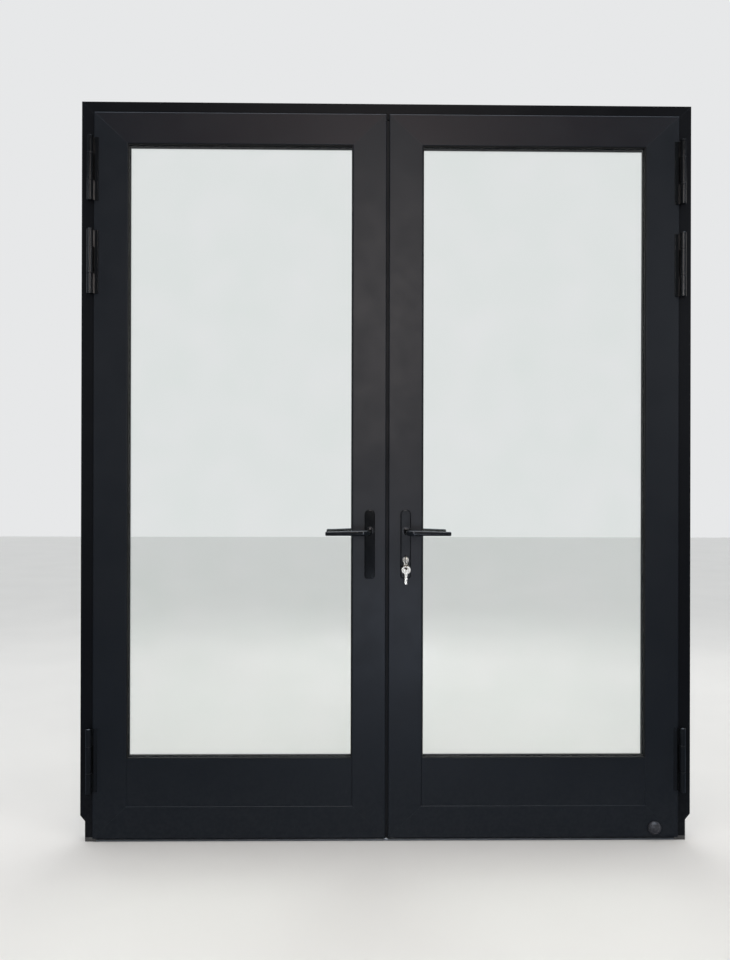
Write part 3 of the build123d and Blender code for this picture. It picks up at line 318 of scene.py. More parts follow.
# Blue polypropylene packers for the glass.
bluePolypropylene = {
    "dark": "#163f7c", "light": "#2356a0",
    "bloom": "#6d8cb8", "bloomAmount": 0.2, "bloomSize": 9 * mm,
    "grain": 0.7 * mm, "grainDepth": 0.03 * mm, "rough": (0.45, 0.6), "specular": 0.45,
}
# Grey thermoplastic elastomer cap of the stop: soft satin with rubbed marks.
stopElastomer = {
    "dark": "#292a2e", "light": "#3a3b40",
    "bloom": "#78797d", "bloomAmount": 0.3, "bloomSize": 7 * mm,
    "grain": 0.7 * mm, "grainDepth": 0.02 * mm, "rough": (0.35, 0.52), "specular": 0.5,
}
mouldEdge = 0.4 * mm  # how far the edges of moulded parts are rounded


def mouldedPart(name, mould):
    material, tree, surface, place = startMaterial(name, {"Specular IOR Level": mould["specular"]})
    cloud = addNode(tree, "ShaderNodeTexNoise", {
        "Scale": 1 / mould["bloomSize"], "Detail": 5.0,
    }, {"Vector": place})
    tone = addNode(tree, "ShaderNodeMix", {
        "data_type": "RGBA", 6: linearColour(mould["dark"]), 7: linearColour(mould["light"]),
    }, {0: cloud.outputs[0]})
    bloom = addNode(tree, "ShaderNodeMapRange", {
        "From Min": spread["bloom"][0], "From Max": spread["bloom"][1],
        "To Min": 0.0, "To Max": mould["bloomAmount"],
    }, {"Value": cloud.outputs[0]})
    colour = addNode(tree, "ShaderNodeMix", {
        "data_type": "RGBA", 7: linearColour(mould["bloom"]),
    }, {0: bloom.outputs[0], 6: tone.outputs[2]})
    grain = addNode(tree, "ShaderNodeTexVoronoi", {"Scale": 1 / mould["grain"]}, {"Vector": place})
    rough = addNode(tree, "ShaderNodeMapRange", {
        "From Min": spread["mouldSheen"][0], "From Max": spread["mouldSheen"][1],
        "To Min": mould["rough"][0], "To Max": mould["rough"][1],
    }, {"Value": cloud.outputs[0]})
    rounded = addNode(tree, "ShaderNodeBevel", {"samples": 4, "Radius": mouldEdge})
    bump = addNode(tree, "ShaderNodeBump", {"Strength": 1.0, "Distance": mould["grainDepth"]}, {
        "Height": grain.outputs["Distance"], "Normal": rounded.outputs[0],
    })
    joinSurface(tree, surface, colour, rough, bump)
    return material


# Polypropylene brush fibres: every fibre has its own shade, and dust lies on them in patches.
brushFibre = {
    "dark": "#101011", "light": "#2c2c2d", "dust": "#5a5752", "dustSize": 6 * mm, "dustAmount": 0.5,
    "grainDepth": 0.02 * mm, "grainStrength": 0.6, "rough": (0.45, 0.7), "specular": 0.4,
}


def fibreMaterial(name, fibre):
    material, tree, surface, place = startMaterial(name, {"Specular IOR Level": fibre["specular"]})
    strand = addNode(tree, "ShaderNodeNewGeometry")
    shade = addNode(tree, "ShaderNodeMix", {
        "data_type": "RGBA", 6: linearColour(fibre["dark"]), 7: linearColour(fibre["light"]),
    }, {0: strand.outputs["Random Per Island"]})
    cloud = addNode(tree, "ShaderNodeTexNoise", {
        "Scale": 1 / fibre["dustSize"], "Detail": 4.0,
    }, {"Vector": place})
    dust = addNode(tree, "ShaderNodeMapRange", {
        "From Min": spread["fibreDust"][0], "From Max": spread["fibreDust"][1],
        "To Min": 0.0, "To Max": fibre["dustAmount"],
    }, {"Value": cloud.outputs[0]})
    colour = addNode(tree, "ShaderNodeMix", {
        "data_type": "RGBA", 7: linearColour(fibre["dust"]),
    }, {0: dust.outputs[0], 6: shade.outputs[2]})
    rough = addNode(tree, "ShaderNodeMapRange", {
        "To Min": fibre["rough"][0], "To Max": fibre["rough"][1],
    }, {"Value": cloud.outputs[0]})
    bump = addNode(tree, "ShaderNodeBump", {
        "Strength": fibre["grainStrength"], "Distance": fibre["grainDepth"],
    }, {"Height": cloud.outputs[0]})
    joinSurface(tree, surface, colour, rough, bump)
    return material


# Float glass of a double-glazed unit: colourless face on, faintly green, with wiping marks that
# only roughen it a little. Shadow rays pass, as light does through a real pane.
floatGlass = {
    "tint": "#f9fcfa", "smear": 0.015, "smearSize": 160 * mm, "waveSize": 300 * mm,
    "waveDepth": 0.01 * mm, "ior": 1.5,
}


def paneMaterial(name, glass):
    material, tree, surface, place = startMaterial(name, {
        "Transmission Weight": 1.0, "IOR": glass["ior"],
    })
    smear = addNode(tree, "ShaderNodeTexNoise", {
        "Scale": 1 / glass["smearSize"], "Detail": 6.0,
    }, {"Vector": place})
    rough = addNode(tree, "ShaderNodeMapRange", {
        "From Min": spread["smear"][0], "From Max": spread["smear"][1],
        "To Min": 0.0, "To Max": glass["smear"],
    }, {"Value": smear.outputs[0]})
    tint = addNode(tree, "ShaderNodeMix", {
        "data_type": "RGBA", 6: linearColour("#ffffff"), 7: linearColour(glass["tint"]),
    }, {0: smear.outputs[0]})
    wave = addNode(tree, "ShaderNodeTexNoise", {
        "Scale": 1 / glass["waveSize"], "Detail": 0.0,
    }, {"Vector": place})
    bump = addNode(tree, "ShaderNodeBump", {"Strength": 1.0, "Distance": glass["waveDepth"]}, {
        "Height": wave.outputs[0],
    })
    joinSurface(tree, surface, tint, rough, bump)
    ray = addNode(tree, "ShaderNodeLightPath")
    clear = addNode(tree, "ShaderNodeBsdfTransparent", {"Color": linearColour(glass["tint"])})
    either = addNode(tree, "ShaderNodeMixShader", {}, {
        0: ray.outputs["Is Shadow Ray"], 1: surface.outputs[0], 2: clear.outputs[0],
    })
    output = next(node for node in tree.nodes if node.bl_idname == "ShaderNodeOutputMaterial")
    tree.links.new(either.outputs[0], output.inputs["Surface"])
    return material


finishes = {  # the record's slots and the material each one wears
    "anthracite_coating": coatedMetal("anthracitePowderCoat", anthraciteCoat),
    "black_coating": coatedMetal("blackStoveEnamel", blackEnamel),
    "sill_aluminium": bareMetal("anodisedAluminium", anodisedSill),
    "mill_aluminium": bareMetal("millFinishAluminium", millAluminium),
    "spacer_aluminium": bareMetal("rolledSpacerAluminium", rolledSpacer),
    "steel": bareMetal("zincPlatedSteel", zincPlatedSteel),
    "stainless_steel": bareMetal("groundStainlessSteel", groundStainless),
    "nickel": bareMetal("satinNickelOnBrass", satinNickel),
    "end_block_plastic": mouldedPart("greyPolyamide", greyPolyamide),
    "seal_rubber": mouldedPart("epdmRubber", epdmRubber),
    "nylon": mouldedPart("blackNylon", blackNylon),
    "block_plastic": mouldedPart("bluePolypropylene", bluePolypropylene),
    "stop_grey": mouldedPart("greyElastomer", stopElastomer),
    "brush_plastic": fibreMaterial("polypropyleneFibre", brushFibre),
    "glass": paneMaterial("floatGlass", floatGlass),
}

# Parts whose coat is a variant of the one in their slot; frame, hinge and gap ones are painted
# shade.
ownCoats = (
    ("framePowderCoatPaintedShade", frameCoatPaintedShade, ("jamb_left", "jamb_right", "head")),
    ("hingeStoveEnamelPaintedShade", hingeEnamelPaintedShade,
     ("hinge_frame_parts", "hinge_leaf_parts_left", "hinge_leaf_parts_right")),
    ("plateStoveEnamel", plateEnamel, ("handle_plates_left", "handle_plates_right")),
    ("gapPowderCoatPaintedShade", gapCoatPaintedShade, ("interlock", "interlock_caps")),
)
ownFinishes = {}
for finishName, coat, partNames in ownCoats:
    ownFinishes.update(dict.fromkeys(partNames, coatedMetal(finishName, coat)))
for name, part in nodes.items():
    for index, old in enumerate(part.data.materials):
        part.data.materials[index] = ownFinishes.get(name, finishes[old.name])
print("materials:", len(finishes) + len(ownCoats))


def meshPiece(name, mesh, body, slot):  # a finished mesh whose place is in its vertices
    piece = bpy.data.objects.new(name, mesh)
    bpy.context.scene.collection.objects.link(piece)
    if not mesh.materials:
        mesh.materials.append(finishes[slot])
    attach(piece, body)
    return piece


def closedMesh(name, shape):  # a bmesh with its faces turned outwards, as a mesh
    bmesh.ops.recalc_face_normals(shape, faces=shape.faces)
    mesh = bpy.data.meshes.new(name)
    shape.to_mesh(mesh)
    shape.free()
    return mesh


def startTree(name, inputs):  # an empty node tree with a geometry input and named sizes
    tree = bpy.data.node_groups.new(name, "GeometryNodeTree")
    tree.interface.new_socket("Geometry", in_out="INPUT", socket_type="NodeSocketGeometry")
    tree.interface.new_socket("Geometry", in_out="OUTPUT", socket_type="NodeSocketGeometry")
    for label, kind in inputs.items():
        tree.interface.new_socket(label, in_out="INPUT", socket_type="NodeSocket" + kind)
    given = addNode(tree, "NodeGroupInput").outputs
    result = addNode(tree, "NodeGroupOutput").inputs[0]
    return tree, given, result


def endTree(tree, given, result, points, shape, turn):  # the shape at each point, in its material
    copies = addNode(tree, "GeometryNodeInstanceOnPoints", {}, {
        "Points": points, "Instance": shape.outputs[0], "Rotation": turn.outputs[0],
    })
    real = addNode(tree, "GeometryNodeRealizeInstances", {}, {0: copies.outputs[0]})
    painted = addNode(tree, "GeometryNodeSetMaterial", {}, {
        0: real.outputs[0], "Material": given["Finish"],
    })
    tree.links.new(painted.outputs[0], result)
    return tree


def runTree(name, tree, carrier, values, body, slot):  # a node tree's result as a plain mesh
    host = bpy.data.objects.new(name + "Host", carrier)
    bpy.context.scene.collection.objects.link(host)
    modifier = host.modifiers.new("tree", "NODES")
    modifier.node_group = tree
    for item in tree.interface.items_tree:
        if item.item_type == "SOCKET" and item.in_out == "INPUT" and item.name in values:
            modifier[item.identifier] = values[item.name]
    seen = host.evaluated_get(bpy.context.evaluated_depsgraph_get())
    mesh = bpy.data.meshes.new_from_object(seen)
    host.modifiers.remove(modifier)
    bpy.data.objects.remove(host)
    mesh.name = name
    return meshPiece(name, mesh, body, slot)


def pointMesh(name, places, directions):  # bare points that carry the way each one faces
    mesh = bpy.data.meshes.new(name)
    mesh.from_pydata([Vector(place) for place in places], [], [])
    facing = mesh.attributes.new("facing", "FLOAT_VECTOR", "POINT")
    facing.data.foreach_set("vector", [value for direction in directions for value in direction])
    return mesh


# One tree makes every flush socket head: round, with a bevelled edge and a hexagon socket.
socketHead = {"sides": 28, "socketSides": 6, "edge": 0.1 * mm, "weld": 0.01 * mm}


def socketScrewTree():
    tree, given, result = startTree("flushSocketScrews", {
        "Head Radius": "Float", "Head Depth": "Float", "Socket Radius": "Float",
        "Socket Depth": "Float", "Edge": "Float", "Finish": "Material",
    })
    headRadius, socketRadius = given["Head Radius"], given["Socket Radius"]
    sides, socketSides = socketHead["sides"], socketHead["socketSides"]

    # the top face, between the inside of the bevelled edge and the socket
    inner = addNode(tree, "ShaderNodeMath", {"operation": "SUBTRACT"}, {
        0: headRadius, 1: given["Edge"],
    }).outputs[0]
    outline = addNode(tree, "GeometryNodeJoinGeometry")
    for count, radius in ((sides, inner), (socketSides, socketRadius)):
        loop = addNode(tree, "GeometryNodeCurvePrimitiveCircle", {"Resolution": count}, {
            "Radius": radius,
        })
        tree.links.new(loop.outputs[0], outline.inputs[0])
    top = addNode(tree, "GeometryNodeFillCurve", {}, {0: outline.outputs[0]})

    # how far down the foot of the edge, of the head and of the socket lie
    edgeDrop = addNode(tree, "ShaderNodeMath", {"operation": "MULTIPLY", 1: -1.0}, {
        0: given["Edge"],
    })
    headDrop = addNode(tree, "ShaderNodeMath", {"operation": "SUBTRACT"}, {
        0: edgeDrop.outputs[0], 1: given["Head Depth"],
    })
    socketDrop = addNode(tree, "ShaderNodeMath", {"operation": "MULTIPLY", 1: -1.0}, {
        0: given["Socket Depth"],
    })
    feet = []
    for drop in (edgeDrop, headDrop, socketDrop):
        feet.append(addNode(tree, "ShaderNodeCombineXYZ", {}, {"Z": drop.outputs[0]}).outputs[0])
    edgeFoot, headFoot, socketFoot = feet

    # the walls round the edge, the head and the socket, then the discs under head and socket
    shells = []
    for count, above, below, height, foot in (
        (sides, inner, headRadius, given["Edge"], edgeFoot),
        (sides, headRadius, headRadius, given["Head Depth"], headFoot),
        (socketSides, socketRadius, socketRadius, given["Socket Depth"], socketFoot),
    ):
        wall = addNode(tree, "GeometryNodeMeshCone", {"fill_type": "NONE", "Vertices": count}, {
            "Radius Top": above, "Radius Bottom": below, "Depth": height,
        })
        shells.append((wall, foot))
    for count, radius, foot in (
        (sides, headRadius, headFoot), (socketSides, socketRadius, socketFoot),
    ):
        disc = addNode(tree, "GeometryNodeMeshCircle", {"fill_type": "NGON", "Vertices": count}, {
            "Radius": radius,
        })
        shells.append((disc, foot))
    edge, side, wall, under, floor = [
        addNode(tree, "GeometryNodeTransform", {}, {0: shell.outputs[0], "Translation": foot})
        for shell, foot in shells
    ]
    wall, under = [  # these two come facing inwards
        addNode(tree, "GeometryNodeFlipFaces", {}, {0: shell.outputs[0]}) for shell in (wall, under)
    ]
    parts = addNode(tree, "GeometryNodeJoinGeometry")
    for shell in (floor, wall, under, side, edge, top):
        tree.links.new(shell.outputs[0], parts.inputs[0])
    head = addNode(tree, "GeometryNodeMergeByDistance", {"Distance": socketHead["weld"]}, {
        0: parts.outputs[0],
    })
    facing = addNode(tree, "GeometryNodeInputNamedAttribute", {
        "data_type": "FLOAT_VECTOR", "Name": "facing",
    })
    turn = addNode(tree, "FunctionNodeAlignRotationToVector", {"axis": "Z"}, {
        "Vector": facing.outputs[0],
    })
    return endTree(tree, given, result, given["Geometry"], head, turn)


screwTree = socketScrewTree()

lockScrews = {  # in the lock's faceplate and in the strike plate
    "head": 2.3 * mm, "headDepth": 1.2 * mm, "socket": 1.2 * mm, "socketDepth": 0.9 * mm,
    "endInset": 8 * mm, "proud": 0.05 * mm,
}
sillScrews = {
    "head": 3.1 * mm, "headDepth": 0.3 * mm, "socket": 1.4 * mm, "socketDepth": 0.25 * mm,
    "places": (-0.75, -0.45, -0.15, 0.15, 0.45, 0.75), "fromBack": 5.4 * mm, "proud": 0.3 * mm,
}
cylinderScrew = {  # holds the cylinder through the faceplate
    "head": 3.9 * mm, "headDepth": 0.6 * mm, "socket": 1.6 * mm, "socketDepth": 0.4 * mm,
    "proud": 0.45 * mm,
}
leverScrews = {  # under each lever's collar, where the lever is clamped to the spindle
    "head": 1.9 * mm, "headDepth": 0.7 * mm, "socket": 1.0 * mm, "socketDepth": 0.4 * mm,
    "fromLeaf": 10.6 * mm, "collar": 11 * mm, "proud": 0.45 * mm,
}
capScrews = {  # adjusting sockets in the flat middle of the hinges' end caps
    "head": 3.4 * mm, "headDepth": 0.6 * mm, "socket": 2.0 * mm, "socketDepth": 0.4 * mm,
    "proud": 0.45 * mm, "hingeHeight": 190 * mm, "pairSpacing": 270 * mm,
}


def screwRow(name, screw, places, directions, body, slot):
    values = {
        "Head Radius": screw["head"], "Head Depth": screw["headDepth"],
        "Socket Radius": screw["socket"], "Socket Depth": screw["socketDepth"],
        "Edge": socketHead["edge"], "Finish": finishes[slot],
    }
    points = pointMesh(name + "Points", places, directions)
    runTree(name, screwTree, points, values, body, slot)


plateLow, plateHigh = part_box("lock_faceplate")
strikeLow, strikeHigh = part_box("strike_plate")
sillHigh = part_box("threshold")[1]
cylinderLow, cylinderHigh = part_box("cylinder_body")
plateMiddle = (plateLow.y + plateHigh.y) / 2
inset, proud = lockScrews["endInset"], lockScrews["proud"]

ends = (plateLow.z + inset, plateHigh.z - inset)
places = [(plateLow.x + proud, plateMiddle, z) for z in ends]
screwRow("faceplateScrews", lockScrews, places, [(-1, 0, 0)] * 2, "leaf_right", "stainless_steel")
ends = (strikeLow.z + inset, strikeHigh.z - inset)
places = [(strikeHigh.x - proud, plateMiddle, z) for z in ends]
screwRow("strikeScrews", lockScrews, places, [(1, 0, 0)] * 2, "leaf_left", "stainless_steel")

sillY = sillHigh.y - sillScrews["fromBack"]
places = [(x, sillY, sillHigh.z + sillScrews["proud"]) for x in sillScrews["places"]]
screwRow("sillScrews", sillScrews, places, [(0, 0, 1)] * len(places), "frame", "stainless_steel")

cylinderZ = cylinderHigh.z - (cylinderHigh.x - cylinderLow.x) / 2
places = [(plateLow.x - cylinderScrew["proud"], plateMiddle, cylinderZ)]
screwRow("cylinderScrew", cylinderScrew, places, [(-1, 0, 0)], "leaf_right", "stainless_steel")

spindleLow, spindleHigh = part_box("spindle_left")
collarZ = (spindleLow.z + spindleHigh.z) / 2 - leverScrews["collar"] - leverScrews["proud"]
pinsLow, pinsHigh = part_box("hinge_pins")
pinRadius = (pinsHigh.y - pinsLow.y) / 2
for side, way in (("left", -1), ("right", 1)):
    stileLow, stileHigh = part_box("hinge_stile_" + side)
    low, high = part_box("spindle_" + side)
    x = (low.x + high.x) / 2
    collars = (stileLow.y - leverScrews["fromLeaf"], stileHigh.y + leverScrews["fromLeaf"])
    places = [(x, y, collarZ) for y in collars]
    screwRow("leverScrews_" + side, leverScrews, places, [(0, 0, -1)] * 2,
             "handle_" + side, "black_coating")
    low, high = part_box("hinge_leaf_parts_" + side)
    x = way * (pinsHigh.x - pinRadius)
    places = []
    for top in (high.z, high.z - capScrews["pairSpacing"], low.z + capScrews["hingeHeight"]):
        foot = top - capScrews["hingeHeight"]
        for z in (top + capScrews["proud"], foot - capScrews["proud"]):
            places.append((x, pinsLow.y + pinRadius, z))
    screwRow("capScrews_" + side, capScrews, places, [(0, 0, 1), (0, 0, -1)] * 3,
             "leaf_" + side, "black_coating")
print("screws done")


# Flat nickel-plated keys with a cut blade. Measures in millimetres, angles in degrees.
keyCut = {
    "bowWidth": 26.0, "bowHeight": 21.0, "bowCorner": 8.8, "hole": 3.5, "holeFromTop": 6.5,
    "length": 53.0, "thickness": 2.4, "bladeHalf": 4.25, "tipHalf": 1.1, "taper": 3.0,
    "neckAngle": 84, "neckDrop": 1.0,
    "cutDepths": (1.6, 2.4, 0.9, 2.0, 1.3), "firstCut": -40.0, "cutSpacing": 4.5,
    "cutFlat": 0.6, "cutSpread": 2.0,
    "rim": 0.3, "arcSteps": 9, "holeSteps": 20,
    "sharp": 1.2,  # radians between two faces from which their edge gets the rim's bevel
}
# Split ring of two turns, which ends a little short of where it began.
splitRing = {
    "turns": 2, "closed": 0.985, "steps": 96, "axial": 0.42, "radial": 0.82, "around": 8,
}


def arcPoints(x, z, radius, start, end, steps):
    angles = [math.radians(start + (end - start) * i / (steps - 1)) for i in range(steps)]
    return [(x + radius * math.cos(a), z + radius * math.sin(a)) for a in angles]


def keyOutline():  # across and up, from the middle of the bow's hole
    top, corner, steps = keyCut["holeFromTop"], keyCut["bowCorner"], keyCut["arcSteps"]
    side = keyCut["bowWidth"] / 2 - corner
    high = top - corner
    low = top - keyCut["bowHeight"] + corner
    points = arcPoints(side, low, corner, -keyCut["neckAngle"], 0, steps)
    points += arcPoints(side, high, corner, 0, 90, steps)
    points += arcPoints(-side, high, corner, 90, 180, steps)
    points += arcPoints(-side, low, corner, 180, 180 + keyCut["neckAngle"], steps)
    half, tipHalf = keyCut["bladeHalf"], keyCut["tipHalf"]
    tip = top - keyCut["length"]
    neck = top - keyCut["bowHeight"] - keyCut["neckDrop"]
    points += [(-half, neck), (-half, tip + keyCut["taper"]), (-tipHalf, tip)]
    points += [(tipHalf, tip), (half, tip + keyCut["taper"])]
    wide, flat = keyCut["cutSpread"], keyCut["cutFlat"]
    for i, depth in enumerate(keyCut["cutDepths"]):
        z = keyCut["firstCut"] + i * keyCut["cutSpacing"]
        for across, up in ((0, -wide), (depth, -flat), (depth, flat), (0, wide)):
            points.append((half - across, z + up))
    points.append((half, neck))
    return points


def cutKey(name, node, body, place):  # place turns across, depth and up into the door's frame
    shape = bmesh.new()
    thickness, rim = keyCut["thickness"], keyCut["rim"] * mm
    steps = keyCut["holeSteps"]
    hole = arcPoints(0, 0, keyCut["hole"], 0, 360 - 360 / steps, steps)
    edges = []
    for loop in (keyOutline(), hole):
        ring = [shape.verts.new((x * mm, -thickness / 2 * mm, z * mm)) for x, z in loop]
        edges += [shape.edges.new((ring[i - 1], ring[i])) for i in range(len(ring))]
    front = bmesh.ops.triangle_fill(shape, use_beauty=True, edges=edges)
    faces = [part for part in front["geom"] if isinstance(part, bmesh.types.BMFace)]
    back = bmesh.ops.extrude_face_region(shape, geom=faces)
    moved = [part for part in back["geom"] if isinstance(part, bmesh.types.BMVert)]
    bmesh.ops.translate(shape, verts=moved, vec=(0, thickness * mm, 0))
    bmesh.ops.recalc_face_normals(shape, faces=shape.faces)
    rims = []
    for edge in shape.edges:
        first, second = edge.verts
        level = abs(first.co.y - second.co.y) < thickness / 2 * mm  # not across the key's side
        if level and edge.calc_face_angle(0) > keyCut["sharp"]:
            rims.append(edge)
    bmesh.ops.bevel(shape, geom=rims, offset=rim, segments=2, profile=0.5, affect="EDGES",
                    clamp_overlap=True)
    for vertex in shape.verts:
        vertex.co = place(vertex.co)
    key = meshPiece(name, closedMesh(name, shape), body, "nickel")
    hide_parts(node)


def coiledRing(name, node, body):  # the two turns lie side by side where the plain ring was
    low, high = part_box(node)
    middle = (low + high) / 2
    wire, flat = splitRing["radial"] * mm, splitRing["axial"] * mm
    radius = (high.z - low.z) / 2 - wire
    outward = Vector((1, 1, 0)).normalized()
    axis = Vector((1, -1, 0)).normalized()
    shape = bmesh.new()
    rings = []
    for i in range(splitRing["steps"] + 1):
        share = i / splitRing["steps"]
        angle = 2 * math.pi * splitRing["turns"] * share * splitRing["closed"]
        spoke = outward * math.cos(angle) + Vector((0, 0, math.sin(angle)))
        centre = middle + spoke * radius + axis * (2 * share - 1) * flat
        ring = []
        for j in range(splitRing["around"]):
            turn = 2 * math.pi * j / splitRing["around"]
            point = centre + spoke * wire * math.cos(turn) + axis * flat * math.sin(turn)
            ring.append(shape.verts.new(point))
        rings.append(ring)
    for first, second in zip(rings, rings[1:]):
        for j in range(len(first)):
            shape.faces.new((first[j - 1], first[j], second[j], second[j - 1]))
    shape.faces.new(rings[0])
    shape.faces.new(list(reversed(rings[-1])))
    mesh = closedMesh(name, shape)
    for face in mesh.polygons:
        face.use_smooth = len(face.vertices) == 4  # all but the wire's two ends
    piece = meshPiece(name, mesh, body, "nickel")
    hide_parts(node)


low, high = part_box("spare_key")
hanging = Vector(((low.x + high.x) / 2, (low.y + high.y) / 2, high.z - keyCut["holeFromTop"] * mm))
cutKey("spareKeyCut", "spare_key", "spare_key", lambda p: hanging + p)
low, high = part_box("key_in_plug")
turned = Vector(((low.x + high.x) / 2, low.y + keyCut["holeFromTop"] * mm, (low.z + high.z) / 2))
cutKey("keyInPlugCut", "key_in_plug", "key", lambda p: turned + Vector((p.y, -p.z, -p.x)))
coiledRing("splitKeyRing", "key_ring", "key_ring")
print("keys done")


# Brush under each leaf: a folded aluminium holder with three close rows of fibres on the sill.
brush = {
    "holderHalf": 8 * mm,
    "holderWall": 1.2 * mm,
    "holderHeight": 13 * mm,
    "mouth": 4 * mm,
    "rows": (-1.2 * mm, 0.0, 1.2 * mm),
    "rootBelow": 2 * mm,  # under the holder's top wall
    "endInset": 3 * mm,
    "spacing": 1.1 * mm,
    "fibre": 0.55 * mm,  # real fibres are about 0.2 mm, drawn coarser to keep their number down
    "fibreSides": 4,
    "tipShare": 0.45,
    "lean": 0.07,
    "clearance": 0.4 * mm,
    "seed": 7,
}


def brushTree():
    tree, given, result = startTree("brushFibres", {
        "Spacing": "Float", "Fibre Length": "Float", "Fibre Radius": "Float", "Lean": "Float",
        "Seed": "Int", "Finish": "Material",
    })
    route = addNode(tree, "GeometryNodeMeshToCurve", {}, {0: given["Geometry"]})
    steps = addNode(tree, "GeometryNodeResampleCurve", {"mode": "LENGTH"}, {
        0: route.outputs[0], "Length": given["Spacing"],
    })
    tip = addNode(tree, "ShaderNodeMath", {"operation": "MULTIPLY", 1: brush["tipShare"]}, {
        0: given["Fibre Radius"],
    })
    fibre = addNode(tree, "GeometryNodeMeshCone", {"Vertices": brush["fibreSides"]}, {
        "Radius Top": tip.outputs[0], "Radius Bottom": given["Fibre Radius"],
        "Depth": given["Fibre Length"],
    })
    down = addNode(tree, "GeometryNodeTransform", {"Rotation": (math.pi, 0, 0)}, {
        0: fibre.outputs[0],
    })

    # each fibre leans its own way and is turned round itself
    lean = given["Lean"]
    back = addNode(tree, "ShaderNodeMath", {"operation": "MULTIPLY", 1: -1.0}, {0: lean})
    least = addNode(tree, "ShaderNodeCombineXYZ", {"Z": 0.0}, {
        "X": back.outputs[0], "Y": back.outputs[0],
    })
    most = addNode(tree, "ShaderNodeCombineXYZ", {"Z": math.pi}, {"X": lean, "Y": lean})
    sway = addNode(tree, "FunctionNodeRandomValue", {"data_type": "FLOAT_VECTOR"}, {
        0: least.outputs[0], 1: most.outputs[0], "Seed": given["Seed"],
    })
    turn = addNode(tree, "FunctionNodeEulerToRotation", {}, {0: sway.outputs[0]})
    return endTree(tree, given, result, steps.outputs[0], down, turn)


def brushHolder(name, low, high, middle, body, node):  # a strip folded to a C, open downwards
    half, height = brush["holderHalf"], brush["holderHeight"]
    wall, lip = brush["holderWall"], brush["mouth"] / 2
    rightSide = [
        (half, 0), (half, -height), (lip, -height), (lip, -height + wall),
        (half - wall, -height + wall), (half - wall, -wall),
    ]
    leftSide = [(-across, up) for across, up in rightSide]
    outline = leftSide[:1] + rightSide + leftSide[:0:-1]  # round from the top left corner
    shape = bmesh.new()
    first, last = [
        [shape.verts.new((x, middle + across, high.z + up)) for across, up in outline]
        for x in (low.x, high.x)
    ]
    for i in range(len(outline)):
        j = (i + 1) % len(outline)
        shape.faces.new((first[i], first[j], last[j], last[i]))
    shape.faces.new(first)
    shape.faces.new(list(reversed(last)))
    holder = meshPiece(name, closedMesh(name, shape), body, "mill_aluminium")
    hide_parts(node)


fibreTree = brushTree()
for side in ("left", "right"):
    node = "bottom_brush_" + side
    body = "leaf_" + side
    low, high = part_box(node)
    middle = (low.y + high.y) / 2
    brushHolder("brushHolder_" + side, low, high, middle, body, node)
    rootZ = high.z - brush["holderWall"] - brush["rootBelow"]
    ends = (low.x + brush["endInset"], high.x - brush["endInset"])
    points = [(x, middle + across, rootZ) for across in brush["rows"] for x in ends]
    route = bpy.data.meshes.new("brushRoute")
    route.from_pydata(points, [(i, i + 1) for i in range(0, len(points), 2)], [])
    fibres = runTree("brushFibres_" + side, fibreTree, route, {
        "Spacing": brush["spacing"],
        "Fibre Length": rootZ - low.z - brush["clearance"],
        "Fibre Radius": brush["fibre"],
        "Lean": brush["lean"],
        "Seed": brush["seed"],
        "Finish": finishes["brush_plastic"],
    }, body, "brush_plastic")
    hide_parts(node)
print("brushes done")


studio = {
    "floor": "#e4e3e0",
    "floorPatch": "#ecebe8",
    # the floor's colour in mirrored rays only: a painted reflection, darker than the floor
    "floorPaintedReflection": "#525c69",
    "floorSize": 30.0,
    "floorLevel": -0.5 * mm,
    "floorRough": (0.6, 0.75),
    "floorSpecular": 0.2,
    "patchSize": 0.5,
    "sky": "#f2f3f4",
    "skyInShine": "#cfdded",
    "skySeen": 0.9,
    "skyShine": 0.13,
    "zenithShine": 5.0,  # overhead, what the levers' upper sides mirror
    "zenithFrom": 0.7,
    # name: place, aimed at, width, height, watts, colour
    "lamps": {
        "centreStrip": ((0.12, -3.4, 2.0), (0.0, 0.0, 1.2), 0.36, 2.0, 22, "#fbf1ee"),
        "kerbStrip": ((0.22, -3.4, 0.16), (0.0, 0.0, 0.8), 0.28, 0.24, 6, "#dfeaff"),
        "keyStrip": ((0.25, -3.4, 0.67), (0.25, 0.0, 0.67), 0.1, 0.5, 0.5, "#e6ecfa"),
        "topStrip": ((0.1, -3.4, 3.32), (0.1, 0.0, 2.06), 3.4, 0.14, 2.6, "#ff6a3c"),
        "leftStrip": ((-2.6, -2.4, 1.9), (-0.6, 0.0, 1.6), 0.2, 1.8, 8, "#eef4ff"),
        "rightStrip": ((2.5, -2.6, 2.1), (0.6, 0.0, 1.8), 0.2, 1.7, 9, "#eef4ff"),
        "overhead": ((0.0, -1.2, 3.4), (0.0, -0.2, 0.9), 1.6, 0.7, 9, "#ffe9d8"),
        "behind": ((0.4, 3.2, 3.0), (0.0, 0.2, 0.9), 2.4, 1.4, 30, "#ffffff"),
        "backLeft": ((-2.8, 2.9, 1.6), (-0.4, 0.0, 1.1), 0.9, 2.6, 16, "#f3f6ff"),
        "backRight": ((2.8, 2.9, 1.6), (0.4, 0.0, 1.1), 0.9, 2.6, 16, "#fff8f1"),
        "sideLeft": ((-3.6, 1.3, 1.6), (-0.9, 0.0, 1.1), 0.9, 2.4, 7, "#f3f6ff"),
        "sideRight": ((3.6, 1.3, 1.6), (0.9, 0.0, 1.1), 0.9, 2.4, 7, "#fff8f1"),
    },
    # seen in the coat's shine only, not on the floor
    "accents": (
        "kerbStrip", "keyStrip", "topStrip", "backLeft", "backRight", "sideLeft", "sideRight",
    ),
    # these leave no hard patch in the panes
    "offGlass": (
        "centreStrip", "kerbStrip", "keyStrip", "leftStrip", "rightStrip",
        "backLeft", "backRight", "sideLeft", "sideRight",
    ),
    "topRailsOnly": ("topStrip",),
}


